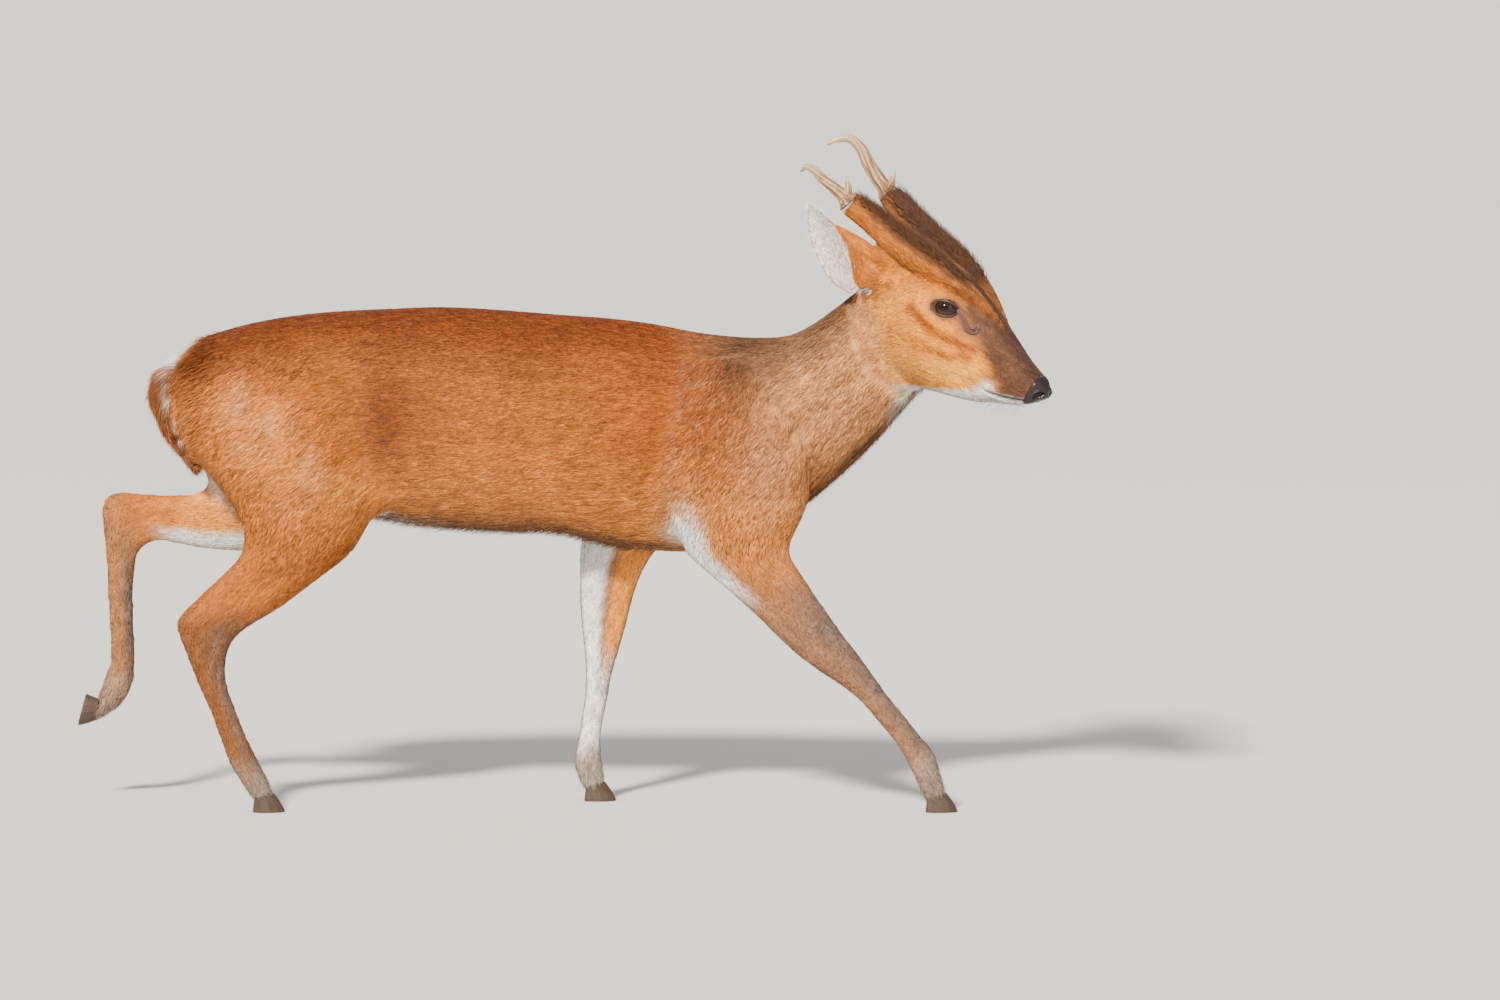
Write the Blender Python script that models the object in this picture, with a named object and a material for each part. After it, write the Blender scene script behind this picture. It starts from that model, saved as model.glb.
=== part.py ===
"""A male muntjac deer, still and life size, walking with its head turned to its right.

Facing +X, its left towards +Y, feet on z = 0. Side profiles are written in millimetres
as pairs of points, upper or front first, with the half width of the body between them.
"""

import math

import bmesh
import bpy
import numpy as np
from mathutils import Matrix, Vector

MM = 0.001
GAP = 0.0003                 # between neighbouring nodes
BOX_SHIFT = (0.0013, 0.0111, 0)      # centres the box of the whole deer on the origin

TRUNK_SEGMENTS = 24
TRUNK_RINGS = 30
HEAD_SEGMENTS = 24
HEAD_RINGS = 22
LIMB_SEGMENTS = 12

HEAD_PIVOT = (0.325, -0.010, 0.0)   # the upright line the head turns about
HEAD_YAW = 25.0                     # degrees towards the right side
EYE_RADIUS = 0.0135
EYE_SPOT = (0.0985, 0.0295, 0.5315)   # centre of the left eye before the head turns
EYE_OPENING = (0.0125, 0.0078)      # half length and half height between the lids

HOOF_LENGTH = 0.033
HOOF_HEIGHT = 0.020
CLAW_WIDTH = 0.0105
CLAW_SPLIT = 0.0016
LIFTED_TOE = (-0.513, 0.055, 0.081)  # tip of the lifted hoof
LIFTED_TURN = 105.0                  # degrees it is bent back from standing
FOOT_SIDE = 0.055            # how far each foot stands from the middle

# Trunk and neck from the rump forwards:
# upper x, upper z, lower x, lower z, half width, level of the widest line.
TRUNK = (
    (-408, 452, -402, 402, 26, 0.50),   # buttock
    (-401, 470, -392, 377, 46, 0.50),
    (-384, 490, -376, 356, 57, 0.50),
    (-349, 505, -339, 341, 63, 0.52),   # root of the tail
    (-302, 516, -286, 331, 68, 0.54),   # hip
    (-244, 523, -228, 313, 70, 0.54),
    (-186, 526, -179, 301, 70, 0.52),   # flank
    (-129, 528, -129, 295, 77, 0.47),
    (-66, 525, -66, 291, 82, 0.44),     # last ribs
    (-3, 520, -3, 289, 83, 0.44),
    (50, 516, 55, 275, 79, 0.46),
    (97, 510, 108, 269, 72, 0.48),      # shoulder
    (144, 501, 160, 271, 65, 0.48),
    (181, 497, 207, 282, 58, 0.48),     # point of the chest
    (213, 496, 244, 309, 52, 0.48),
    (239, 499, 277, 336, 47, 0.48),
    (262, 510, 308, 364, 45, 0.50),     # middle of the neck
    (284, 526, 336, 393, 43, 0.50),
    (302, 541, 360, 421, 42, 0.50),
    (318, 556, 383, 446, 42, 0.50),     # throat
)

# Limbs from the body downwards:
# front x, front z, rear x, rear z, half width, middle y.
HIND_PLANTED = (
    (-244, 471, -386, 440, 22, -38),
    (-202, 413, -395, 405, 32, -42),
    (-193, 345, -382, 366, 34, -44),    # thigh
    (-196, 306, -358, 333, 33, -46),
    (-213, 282, -337, 301, 30, -48),    # stifle
    (-228, 266, -334, 280, 26, -50),
    (-249, 250, -341, 265, 22, -52),
    (-276, 229, -358, 248, 17.5, -53),
    (-299, 212, -381, 227, 14.5, -54),
    (-323, 198, -397, 211, 12.5, -55),
    (-338, 188, -405, 201, 12.5, -55),  # hock
    (-347, 175, -402, 186, 12.5, -55),
    (-352, 159, -394, 165, 11, -55),
    (-350, 133, -383, 136, 9.2, -55),
    (-340, 104, -370, 107, 9, -55),     # cannon
    (-329, 76, -359, 77, 9.6, -55),
    (-317, 52, -347, 47, 11.5, -55),    # fetlock
    (-309, 35, -334, 27, 11, -55),
    (-303.4, 20.2, -324.9, 13.9, 12, -55),
)
HIND_LIFTED = (
    (-249, 461, -386, 430, 22, 38),
    (-228, 393, -392, 388, 32, 42),
    (-228, 335, -381, 352, 33, 44),     # thigh
    (-258, 283, -373, 336, 29, 46),
    (-328, 266, -384, 328, 21, 49),
    (-379, 268, -404, 325, 15.5, 52),
    (-410, 273, -431, 325, 12.5, 54),
    (-428, 276, -454, 327, 12, 55),
    (-440, 271, -475, 327, 12, 55),     # hock
    (-448, 263, -486, 317, 12, 55),
    (-451, 246, -486, 295, 11.5, 55),
    (-453, 223, -483, 257, 9.8, 55),
    (-453, 193, -481, 209, 9, 55),      # cannon
    (-452, 164, -479, 172, 9, 55),
    (-452, 139, -479, 146, 9.8, 55),
    (-456, 118, -485, 131, 11.5, 55),   # fetlock
    (-468, 101, -488, 121, 11, 55),
    (-489.8, 87, -490.3, 109, 12, 55),
)
FORE_PLANTED_AHEAD = (
    (190, 478, 132, 475, 14, -34),
    (226, 430, 121, 430, 25, -40),
    (256, 382, 113, 387, 31, -44),      # point of the shoulder
    (260, 345, 111, 345, 32, -46),
    (256, 319, 115, 314, 30, -48),
    (246, 298, 124, 285, 27, -50),      # elbow
    (239, 282, 134, 269, 24, -51),
    (240, 268, 157, 248, 21, -52),
    (249, 253, 181, 227, 17.5, -53),
    (265, 229, 207, 203, 14.5, -54),
    (281, 206, 228, 182, 13, -55),
    (295, 186, 249, 163, 12.5, -55),
    (309, 168, 271, 147, 12.5, -55),    # carpus
    (325, 146, 295, 131, 11, -55),
    (340, 125, 314, 115, 9.2, -55),
    (358, 103, 333, 92, 8.8, -55),      # cannon
    (375, 81, 351, 71, 9.6, -55),
    (391, 61, 362, 52, 11.5, -55),      # fetlock
    (397, 39, 372, 31, 11, -55),
    (402.2, 20.2, 380.7, 13.9, 12, -55),
)
FORE_PLANTED_UNDER = (
    (180, 468, 124, 465, 14, 34),
    (200, 422, 108, 420, 25, 40),
    (196, 372, 84, 378, 31, 44),        # point of the shoulder
    (170, 330, 48, 336, 32, 46),
    (134, 297, 24, 299, 28, 49),
    (100, 269, 18, 269, 24, 51),        # elbow
    (83, 242, 17, 241, 20, 53),
    (73, 214, 17, 214, 16, 54),
    (66, 185, 19, 185, 13.5, 55),
    (58, 158, 22, 155, 12.5, 55),       # carpus
    (51, 132, 23, 130, 10.8, 55),
    (46, 105, 21, 104, 8.8, 55),        # cannon
    (40, 72, 16, 71, 9.2, 55),
    (40, 46, 11, 41, 11.5, 55),         # fetlock
    (42, 33, 15, 26, 11, 55),
    (43, 20.2, 21.5, 13.9, 12, 55),
)
TAIL = (
    (-392, 486, -366, 486, 7, 0),
    (-413, 471, -388, 470, 14, 0),
    (-427, 456, -402, 452, 19, 0),
    (-433, 438, -407, 435, 21, 0),
    (-430, 420, -407, 419, 21.5, 0),
    (-424, 402, -405, 401, 20, 0),
    (-414, 385, -399, 384, 16, 0),
    (-402, 369, -391, 370, 11, 0),
    (-393, 356, -386, 357, 5, 0),
)
TAIL_SAW = ((-356, 507), (-372, 495), (-386, 482), (-399, 467), (-405.5, 452), (-406.5, 437), (-405.5, 401),
            (-399, 380), (-389, 362), (-384, 350))

# The head before it turns, x from the pivot:
# upper x, upper z, lower x, lower z, half width, level of the widest line, squareness.
SKULL = (
    (-16, 532, 12, 478, 24, 0.5, 2.0),
    (-8, 560, 26, 453, 34, 0.5, 2.0),   # back of the skull
    (12, 577, 45, 447, 40, 0.54, 2.1),
    (41, 586, 64, 443, 44, 0.58, 2.2),  # jaw angle
    (70, 585, 81, 440, 45, 0.62, 2.4),  # orbit
    (97, 574, 95, 437, 41, 0.64, 2.6),
    (116, 560, 108, 434, 32, 0.60, 2.5),
    (133, 541, 122, 432, 25, 0.52, 2.5),
    (151, 519, 137, 432, 21.5, 0.48, 2.5),
    (168, 496, 151, 431, 19.5, 0.48, 2.4),
    (182, 477, 163, 430, 18.5, 0.50, 2.3),
    (193, 465, 174, 430, 17.5, 0.52, 2.2),   # nostrils
    (200, 457, 184, 431.5, 15, 0.52, 2.1),
    (203, 450, 193, 436, 9, 0.52, 2.0),
)
MOUTH_LINE = ((222, 431), (205, 432.5), (186, 435), (171, 437), (157, 439), (143, 443), (133, 447))
JAW_BREAK = (104, 400)       # where the cut behind the lower jaw leaves the throat
PEDICLE = (                  # left side: x, y, z, thickness across the stalk
    (152, 8, 512, 3),
    (129, 17, 540, 7.5),
    (105, 26, 559.5, 12),    # brow crest
    (84, 30, 574, 16),
    (62, 34, 588.5, 17),
    (39, 39, 606, 15.8),
    (16, 45, 626, 14.3),
    (0, 51, 638.5, 13.5),
)
RIGHT_BEAM = ((-2.5, 51.3, 640.2, 13), (-8, 53, 646, 7.6), (-17, 55.5, 654.5, 6), (-30, 57, 664.5, 5.2),
              (-42, 54.5, 673.5, 4.6), (-54, 48, 676.5, 3.6), (-63, 42, 671, 1.6))
LEFT_BEAM = ((-2.5, 51.3, 640.2, 13), (-8, 53.5, 647, 8.5), (-19, 56.5, 658, 7.6), (-31, 59, 674, 7),
             (-40, 58.5, 690, 6), (-50, 53, 700, 4.8), (-61, 44.5, 700, 3.8), (-69, 37.5, 694.5, 1.5))
BEAM_MESH = (10, 14)         # points round, rings
TINE_MESH = (8, 6)
RIGHT_TINE = ((-6, 51, 645, 5.5), (-5, 50, 655, 4), (-8, 47, 666, 1.3))
LEFT_TINE = ((-6, 51, 646, 5.5), (-1, 50.5, 655, 4.2), (4, 49, 666, 1.8))
EAR_WALL = 0.0032
EAR_SHAPE = (                # share of the length, 0, 0, half width, depth of the cup, angle of the wall
    (0, 0, 0, 0.0130, 0.0150, 140),
    (0.15, 0, 0, 0.0190, 0.0200, 128),
    (0.32, 0, 0, 0.0245, 0.0215, 108),
    (0.52, 0, 0, 0.0270, 0.0170, 92),
    (0.72, 0, 0, 0.0235, 0.0110, 85),
    (0.88, 0, 0, 0.0150, 0.0070, 80),
    (1.0, 0, 0, 0.0035, 0.0040, 75),
)
LIMBS = {                    # rows, rings
    "limb_hr": (HIND_PLANTED, 28), "limb_hl": (HIND_LIFTED, 26),
    "limb_fr": (FORE_PLANTED_AHEAD, 28), "limb_fl": (FORE_PLANTED_UNDER, 24), "tail_shape": (TAIL, 10),
}
NECK_DRIFT = (200, 121, -9)   # millimetres: where the neck starts to bend sideways, over what length, how far
EARS = {                     # side: root, tip, way the cup opens; the left ear is laid further back
    1: ((14, 33, 551), (-62, 62, 579), (-0.45, 0.15, 0.88)),
    -1: ((8, -34, 552), (-37, -77, 637), (-0.45, -0.87, 0)),
}
EAR_ARC = 9                  # points across the cup
EAR_RINGS = 13
EAR_BOW = 0.004              # how far the middle of an ear stands out towards its mouth
EAR_ROOT = ((0.022, 0.032, 0.553), (0.016, 0.013, 0.016))        # left side: middle, radii
BROW = ((0.098, 0.030, 0.545), (0.022, 0.0125, 0.013))
NOSTRIL = ((0.1985, 0.012, 0.442), (0.0055, 0.0040, 0.0030))
GLAND_SLIT = ((0.1255, 0.0265, 0.514), (0.0060, 0.0030, 0.0022))
LID_TILT = -6                # degrees
LID_POINTS = 18
LID_THICK = (0.0026, 0.0009)         # radius of the rim, and what the upper lid adds
LID_SPREAD = (1.10, 1.12)    # rim against the opening, along and across
LID_LIFT = 0.0006            # of the rim off the eyeball
LID_SINK = 0.45              # share of its radius that the rim stands back from the opening

LOCK_RINGS = 9               # rings of the tail that the fringe hangs on
LOCK_START = 3
LOCK_REACH = (26, 20)        # millimetres below its ring: along the edges, at the tip
LOCK_HALF = (7, 3.2)         # half width and half thickness of a root in millimetres
LOCK_TIP = 0.35              # share of the thickness left at the tip
LOCK_INSET = 5               # root inside the edge of the tail, tip as far outside it

CLAW_OUTLINE = (             # toe to heel along the outer side, in hoof lengths and claw widths
    (0, 0.10), (-0.06, 0.42), (-0.22, 0.78), (-0.45, 1.0), (-0.72, 1.0), (-0.93, 0.80), (-1.0, 0.45),
    (-1.0, 0.08), (-0.5, 0.0),
)
CLAW_LEVELS = (              # share of the height, length left, way back, width left
    (0, 1, 0, 1), (0.12, 1, 0, 1.02), (0.55, 0.84, 0.14, 0.98), (1, 0.62, 0.34, 0.92),
)
STANDING_TOES = {"hind_right": (-0.2914, -FOOT_SIDE), "fore_right": (0.4142, -FOOT_SIDE),
                 "fore_left": (0.0550, FOOT_SIDE)}
CLAW_SLOPE = 0.30            # how much lower the heel of a claw is than its toe
DEWCLAW_SPREAD = (5, 6.5, 7.5)       # millimetres from the middle: root, middle, tip
DEWCLAW_RADII = (4.5, 4, 1.6)
DEWCLAW_DROP = 9
DEWCLAWS = {                 # place (x, z) in millimetres, lean, middle y
    "dew_hr": ((-343, 38), (0.5, 0.6), -55), "dew_fr": ((366, 42), (0.5, 0.6), -55),
    "dew_fl": ((14, 33), (0.3, 0.7), 55), "dew_hl": ((-486, 129), (0.8, -0.4), 55),
}

# Cuts that part the flesh into nodes: middle, direction, half length and half width
BODY_CUTS = {
    "neck": ((0.230, 0, 0.4125), (0.847, 0, 0.532), (0.13, 0.09)),
    "hind_right_top": ((-0.275, -0.049, 0.290), (0.15, 0, 0.99), (0.080, 0.040)),
    "hind_right_low": ((-0.373, -0.055, 0.162), (0.14, 0, 0.99), (0.032, 0.026)),
    "hind_left_top": ((-0.339, 0.050, 0.304), (0.597, 0, 0.80), (0.058, 0.034)),
    "hind_left_low": ((-0.467, 0.055, 0.203), (0.50, 0, 0.87), (0.028, 0.026)),
    "fore_right_top": ((0.200, -0.052, 0.258), (-0.234, 0, 0.972), (0.073, 0.034)),
    "fore_right_low": ((0.310, -0.055, 0.1385), (-0.447, 0, 0.894), (0.026, 0.026)),
    "fore_left_top": ((0.058, 0.052, 0.258), (-0.03, 0, 1), (0.055, 0.034)),
    "fore_left_low": ((0.037, 0.055, 0.137), (-0.05, 0, 1), (0.028, 0.026)),
}
NOSE_CUT = ((0.1835, 0, 0.4594), (1, 0, 0), (0.0247, 0.03))
SKULL_CUT = ((0.0171, 0, 0.4919), (0.918, 0, 0.397), (0.08025, 0.055))
SKULL_CUT_NARROWS = 0.75     # width left at its upper end, clear of the ears
JAW_CUT_BEND = ((126, 440), (118, 425))
CUT_HALF_WIDTH = 0.05        # of the bent cuts of tail and jaw
EAR_CUT = (20, 3, 0.029)     # millimetres along and out from the root, radius
PEDICLE_CUT = (5, 6, 0.0190)         # between these two points of the stalk, radius
TINE_CUT = (0.2, (0.0048, 0.0052))   # share of the way from the second point, half sizes

# Boxes where limb and trunk run into each other: low corner, high corner
SOFT_SPOTS = (
    ((-0.405, 0.030, 0.330), (-0.175, 0.12, 0.500)),
    ((-0.405, -0.12, 0.330), (-0.175, -0.030, 0.500)),
    ((0.070, -0.12, 0.300), (0.275, -0.030, 0.500)),
    ((0.030, 0.030, 0.300), (0.215, 0.12, 0.490)),
)
SOFT_TIMES = 10

# A point near the middle of each node of flesh; those on the head before it turns
NODE_SPOTS = {
    "torso": (-0.08, 0, 0.41), "neck": (0.27, 0, 0.45), "tail": (-0.41, 0, 0.42),
    "shank_and_hock_right": (-0.33, -0.05, 0.23), "cannon_hind_right": (-0.35, -0.055, 0.09),
    "shank_and_hock_left": (-0.42, 0.05, 0.29), "cannon_hind_left": (-0.467, 0.055, 0.15),
    "forearm_right": (0.25, -0.054, 0.20), "cannon_fore_right": (0.35, -0.055, 0.09),
    "forearm_left": (0.045, 0.053, 0.20), "cannon_fore_left": (0.030, 0.055, 0.08),
}
HEAD_SPOTS = {
    "head": (0.08, 0, 0.52), "lower_jaw": (0.155, 0, 0.425), "nose_pad": (0.195, 0, 0.45),
    "ear_left": (-0.02, 0.05, 0.585), "ear_right": (-0.012, -0.055, 0.60),
    "pedicle_left": (0.012, 0.047, 0.628), "pedicle_right": (0.012, -0.047, 0.628),
}


def clear_scene():
    for item in list(bpy.data.objects):
        bpy.data.objects.remove(item, do_unlink=True)


def colour(name, rgb, rough=0.8):
    shade = bpy.data.materials.new(name)
    shade.use_nodes = True
    shader = shade.node_tree.nodes["Principled BSDF"]
    shader.inputs["Base Color"].default_value = (*rgb, 1)
    shader.inputs["Roughness"].default_value = rough
    return shade


def smooth_rows(rows, count):
    """Rows resampled evenly along their length by cubic pieces through every row."""
    rows = np.asarray(rows, float)
    steps = np.linalg.norm(np.diff(rows[:, :3], axis=0), axis=1) + 1e-9
    along = np.concatenate([[0], np.cumsum(steps)])
    slope = np.gradient(rows, along, axis=0)
    at = np.linspace(0, along[-1], count)
    k = np.clip(np.searchsorted(along, at, side="right") - 1, 0, len(rows) - 2)
    h = (along[k + 1] - along[k])[:, None]
    t = ((at - along[k])[:, None]) / h
    return ((2 * t**3 - 3 * t**2 + 1) * rows[k] + (t**3 - 2 * t**2 + t) * h * slope[k]
            + (3 * t**2 - 2 * t**3) * rows[k + 1] + (t**3 - t**2) * h * slope[k + 1])


def make_object(name, verts, faces):
    mesh = bpy.data.meshes.new(name)
    mesh.from_pydata([tuple(map(float, v)) for v in verts], [], faces)
    mesh.update()
    item = bpy.data.objects.new(name, mesh)
    bpy.context.scene.collection.objects.link(item)
    work = bmesh.new()
    work.from_mesh(mesh)
    bmesh.ops.recalc_face_normals(work, faces=work.faces)
    if work.calc_volume(signed=True) < 0:
        bmesh.ops.reverse_faces(work, faces=work.faces)
    work.to_mesh(mesh)
    work.free()
    return item


def skin_rings(name, rings):
    """Closed body through rings of equal count, with a centre point closing each end."""
    rings = np.asarray(rings, float)
    count, size = rings.shape[:2]
    verts = [*rings.reshape(-1, 3), rings[0].mean(axis=0), rings[-1].mean(axis=0)]
    faces = []
    for r in range(count - 1):
        for s in range(size):
            t = (s + 1) % size
            faces.append((r * size + s, r * size + t, (r + 1) * size + t, (r + 1) * size + s))
    first = count * size
    last = (count - 1) * size
    for s in range(size):
        t = (s + 1) % size
        faces.append((first, t, s))
        faces.append((first + 1, last + s, last + t))
    return make_object(name, verts, faces)


def profile_rings(rows, count, segments, squareness=2.2):
    """Rings between paired profile points.
    Row: point A (x, z), point B (x, z), half width, then level of the widest line or middle y."""
    rows = np.asarray(rows, float)
    middle = [(rows[:, 0] + rows[:, 2]) / 2, 0 * rows[:, 0], (rows[:, 1] + rows[:, 3]) / 2]
    keys = smooth_rows(np.column_stack([*middle, rows]), count)[:, 3:]
    turn = np.linspace(0, 2 * math.pi, segments, endpoint=False)
    rings = []
    for row in keys:
        power = 2 / (row[7] if len(row) > 7 else squareness)
        across = np.sign(np.cos(turn)) * np.abs(np.cos(turn)) ** power
        rise = np.sign(np.sin(turn)) * np.abs(np.sin(turn)) ** power
        level = row[5]
        share = np.where(rise >= 0, level + rise * (1 - level), level + rise * level)
        x = row[2] + (row[0] - row[2]) * share
        z = row[3] + (row[1] - row[3]) * share
        rings.append(np.column_stack([x, row[4] * across + row[6], z]) * MM)
    return np.array(rings)


def trunk_rings():
    rows = np.asarray(TRUNK, float)
    start, length, aside = NECK_DRIFT
    drift = np.clip((rows[:, 0] - start) / length, 0, 1) ** 2 * aside
    return profile_rings(np.column_stack([rows, drift]), TRUNK_RINGS, TRUNK_SEGMENTS)


def head_rings():
    rows = np.asarray(SKULL, float)
    rows = np.column_stack([rows[:, :6], 0 * rows[:, 0], rows[:, 6]])
    return profile_rings(rows, HEAD_RINGS, HEAD_SEGMENTS)


def limb_rings(rows, count):
    rows = np.asarray(rows, float)
    rows = np.column_stack([rows[:, :5], 0 * rows[:, 0] + 0.5, rows[:, 5]])
    return profile_rings(rows, count, LIMB_SEGMENTS)


def tube(name, points, segments=10, rings=10):
    """Round stalk along points (x, y, z, radius)."""
    rows = smooth_rows(points, rings)
    path = rows[:, :3]
    lean = np.gradient(path, axis=0)
    lean /= np.linalg.norm(lean, axis=1)[:, None]
    side = np.cross(lean, (0.0, 1.0, 0.0))
    side /= np.linalg.norm(side, axis=1)[:, None]
    other = np.cross(side, lean)
    turn = np.linspace(0, 2 * math.pi, segments, endpoint=False)[None, :, None]
    around = np.cos(turn) * side[:, None] + np.sin(turn) * other[:, None]
    return skin_rings(name, (path[:, None] + rows[:, 3][:, None, None] * around) * MM)


def ball(name, centre, radii, segments=14, rings=9):
    lean = np.linspace(0, math.pi, rings + 2)[1:-1]
    turn = np.linspace(0, 2 * math.pi, segments, endpoint=False)
    body = np.array([[(math.sin(a) * math.cos(b), math.sin(a) * math.sin(b), math.cos(a)) for b in turn]
                     for a in lean])
    item = skin_rings(name, body * np.asarray(radii) + np.asarray(centre))
    mesh = item.data
    size = len(mesh.vertices)
    mesh.vertices[size - 2].co = Vector(centre) + Vector((0, 0, radii[2]))
    mesh.vertices[size - 1].co = Vector(centre) - Vector((0, 0, radii[2]))
    mesh.update()
    return item


def side_ball(name, shape, side, segments=14):
    """Ball from its middle and radii on the left, or mirrored to the right."""
    (x, y, z), radii = shape
    return ball(name, (x, side * y, z), radii, segments)


def slab(name, centre, normal, size, thick=GAP, narrow=1.0):
    """Thin box square to normal, used as a saw: half length up or along, half width across."""
    up = Vector(normal).normalized()
    across = (Vector((0, 1, 0)) - up * up.y).normalized()
    along = across.cross(up)
    verts = []
    for level in (-1, 1):
        for v in (-1, 1):
            for u in (-1, 1):
                wide = size[1] * (narrow if u < 0 else 1)
                verts.append(Vector(centre) + along * size[0] * u + across * wide * v
                             + up * thick / 2 * level)
    faces = [(0, 1, 3, 2), (4, 6, 7, 5), (0, 4, 5, 1), (2, 3, 7, 6), (0, 2, 6, 4), (1, 5, 7, 3)]
    return make_object(name, verts, faces)


def round_slab(name, centre, normal, radius, thick=GAP, sides=16):
    """Thin round plate square to normal, used as a saw."""
    up = Vector(normal).normalized()
    across = (Vector((0, 1, 0)) - up * up.y).normalized()
    along = across.cross(up)
    rim = [Vector(centre) + (along * math.cos(a) + across * math.sin(a)) * radius
           for a in np.linspace(0, 2 * math.pi, sides + 1)[:-1]]
    verts = [p - up * thick / 2 for p in rim] + [p + up * thick / 2 for p in rim]
    faces = [tuple(range(sides)), tuple(range(sides, 2 * sides))]
    faces += [(s, (s + 1) % sides, sides + (s + 1) % sides, sides + s) for s in range(sides)]
    return make_object(name, verts, faces)


def prism(name, outline, half_width):
    """Side outline (x, z) in millimetres carried across from -half_width to +half_width."""
    count = len(outline)
    verts = [(x * MM, y, z * MM) for y in (-half_width, half_width) for x, z in outline]
    faces = [tuple(range(count)), tuple(range(count, 2 * count))]
    for s in range(count):
        t = (s + 1) % count
        faces.append((s, t, count + t, count + s))
    return make_object(name, verts, faces)


def strip(name, line, thick, half_width):
    """Bent saw of even thickness following a side line (x, z) in millimetres."""
    line = np.asarray(line, float)
    lean = np.gradient(line, axis=0)
    lean /= np.linalg.norm(lean, axis=1)[:, None]
    square = np.column_stack([-lean[:, 1], lean[:, 0]]) * thick / MM / 2
    outline = np.concatenate([line + square, (line - square)[::-1]])
    return prism(name, [tuple(p) for p in outline], half_width)


def head_place():
    return (Matrix.Translation(Vector(HEAD_PIVOT)) @ Matrix.Rotation(-math.radians(HEAD_YAW), 4, "Z"))


def to_head(items):
    for item in items:
        item.data.transform(head_place())
    return items


def mirrored(points):
    return [(p[0], -p[1], *p[2:]) for p in points]


def boolean(item, tools, operation):
    group = bpy.data.collections.new("tools")
    bpy.context.scene.collection.children.link(group)
    for tool in tools:
        group.objects.link(tool)
    step = item.modifiers.new("join", "BOOLEAN")
    step.operation = operation
    step.operand_type = "COLLECTION"
    step.collection = group
    step.solver = "EXACT"
    bpy.context.view_layer.update()
    bpy.context.view_layer.objects.active = item
    bpy.ops.object.modifier_apply(modifier=step.name)
    for tool in tools:
        bpy.data.objects.remove(tool, do_unlink=True)
    bpy.data.collections.remove(group)
    return item


def ear(name, side):
    """Open leaf-shaped cup; length along the first axis, opening turned by the second."""
    base, tip, mouth = (Vector(v) for v in EARS[side])
    lean = (tip - base).normalized()
    mouth = (mouth - lean * mouth.dot(lean)).normalized()
    across = lean.cross(mouth)
    shape = smooth_rows(EAR_SHAPE, EAR_RINGS)
    rings = []
    for share, _, _, half, hollow, opened in shape:
        wall = min(EAR_WALL * (1.2 - 0.5 * share), half * 0.55)
        centre = (base + (tip - base) * share) * MM + mouth * EAR_BOW * math.sin(math.pi * share)
        points = []
        for thick, order in ((0, range(EAR_ARC)), (wall, range(EAR_ARC - 1, -1, -1))):
            for k in order:
                a = math.radians(opened) * (2 * k / (EAR_ARC - 1) - 1)
                points.append(centre + across * (half - thick) * math.sin(a)
                              - mouth * ((hollow - thick) * math.cos(a) - hollow * 0.35))
        rings.append([tuple(p) for p in points])
    return skin_rings_flat(name, rings)


def skin_rings_flat(name, rings):
    """Closed body through rings of crescent shape; each end is closed by a strip."""
    rings = np.asarray(rings, float)
    count, size = rings.shape[:2]
    faces = []
    for r in range(count - 1):
        for s in range(size):
            t = (s + 1) % size
            faces.append((r * size + s, r * size + t, (r + 1) * size + t, (r + 1) * size + s))
    half = size // 2
    for start, flip in ((0, False), ((count - 1) * size, True)):
        for s in range(half - 1):
            quad = (start + s, start + s + 1, start + size - 2 - s, start + size - 1 - s)
            faces.append(quad[::-1] if flip else quad)
    return make_object(name, rings.reshape(-1, 3), faces)


def lid_ring(name, side):
    """Rim round the eye opening, lying on the eyeball, thicker above."""
    x, y, z = EYE_SPOT
    count = LID_POINTS
    rings = []
    tilt = math.radians(LID_TILT)
    for k in range(count):
        a = 2 * math.pi * k / count
        u = EYE_OPENING[0] * LID_SPREAD[0] * math.cos(a)
        v = EYE_OPENING[1] * LID_SPREAD[1] * math.sin(a)
        u, v = u * math.cos(tilt) - v * math.sin(tilt), u * math.sin(tilt) + v * math.cos(tilt)
        out = math.sqrt(max((EYE_RADIUS + LID_LIFT) ** 2 - u * u - v * v, 1e-7))
        thick = LID_THICK[0] + LID_THICK[1] * max(math.sin(a), 0)
        radial = Vector((u, 0, v)).normalized()
        centre = Vector((x + u, y + out, z + v)) + radial * thick * LID_SINK
        rings.append([tuple(centre + (radial * math.cos(b) + Vector((0, 1, 0)) * math.sin(b)) * thick)
                      for b in np.linspace(0, 2 * math.pi, 7)[:-1]])
    rings = np.array(rings)
    rings[:, :, 1] *= side
    size = 6
    faces = [(r * size + s, r * size + (s + 1) % size, ((r + 1) % count) * size + (s + 1) % size,
              ((r + 1) % count) * size + s) for r in range(count) for s in range(size)]
    return make_object(name, rings.reshape(-1, 3), faces)


def hoof_claw(name, side):
    """One claw in the frame of its foot: toe at the origin, heel behind, sole on z = 0."""
    rings = []
    for level, shrink, back, wide in CLAW_LEVELS:
        ring = []
        for u, v in CLAW_OUTLINE:
            height = HOOF_HEIGHT * level * (1 + CLAW_SLOPE * u * (level > 0.2))
            across = side * (CLAW_SPLIT / 2 + CLAW_WIDTH * v * wide)
            ring.append((HOOF_LENGTH * (u * shrink - back), across, height))
        rings.append(ring)
    return skin_rings(name, rings)


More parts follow.
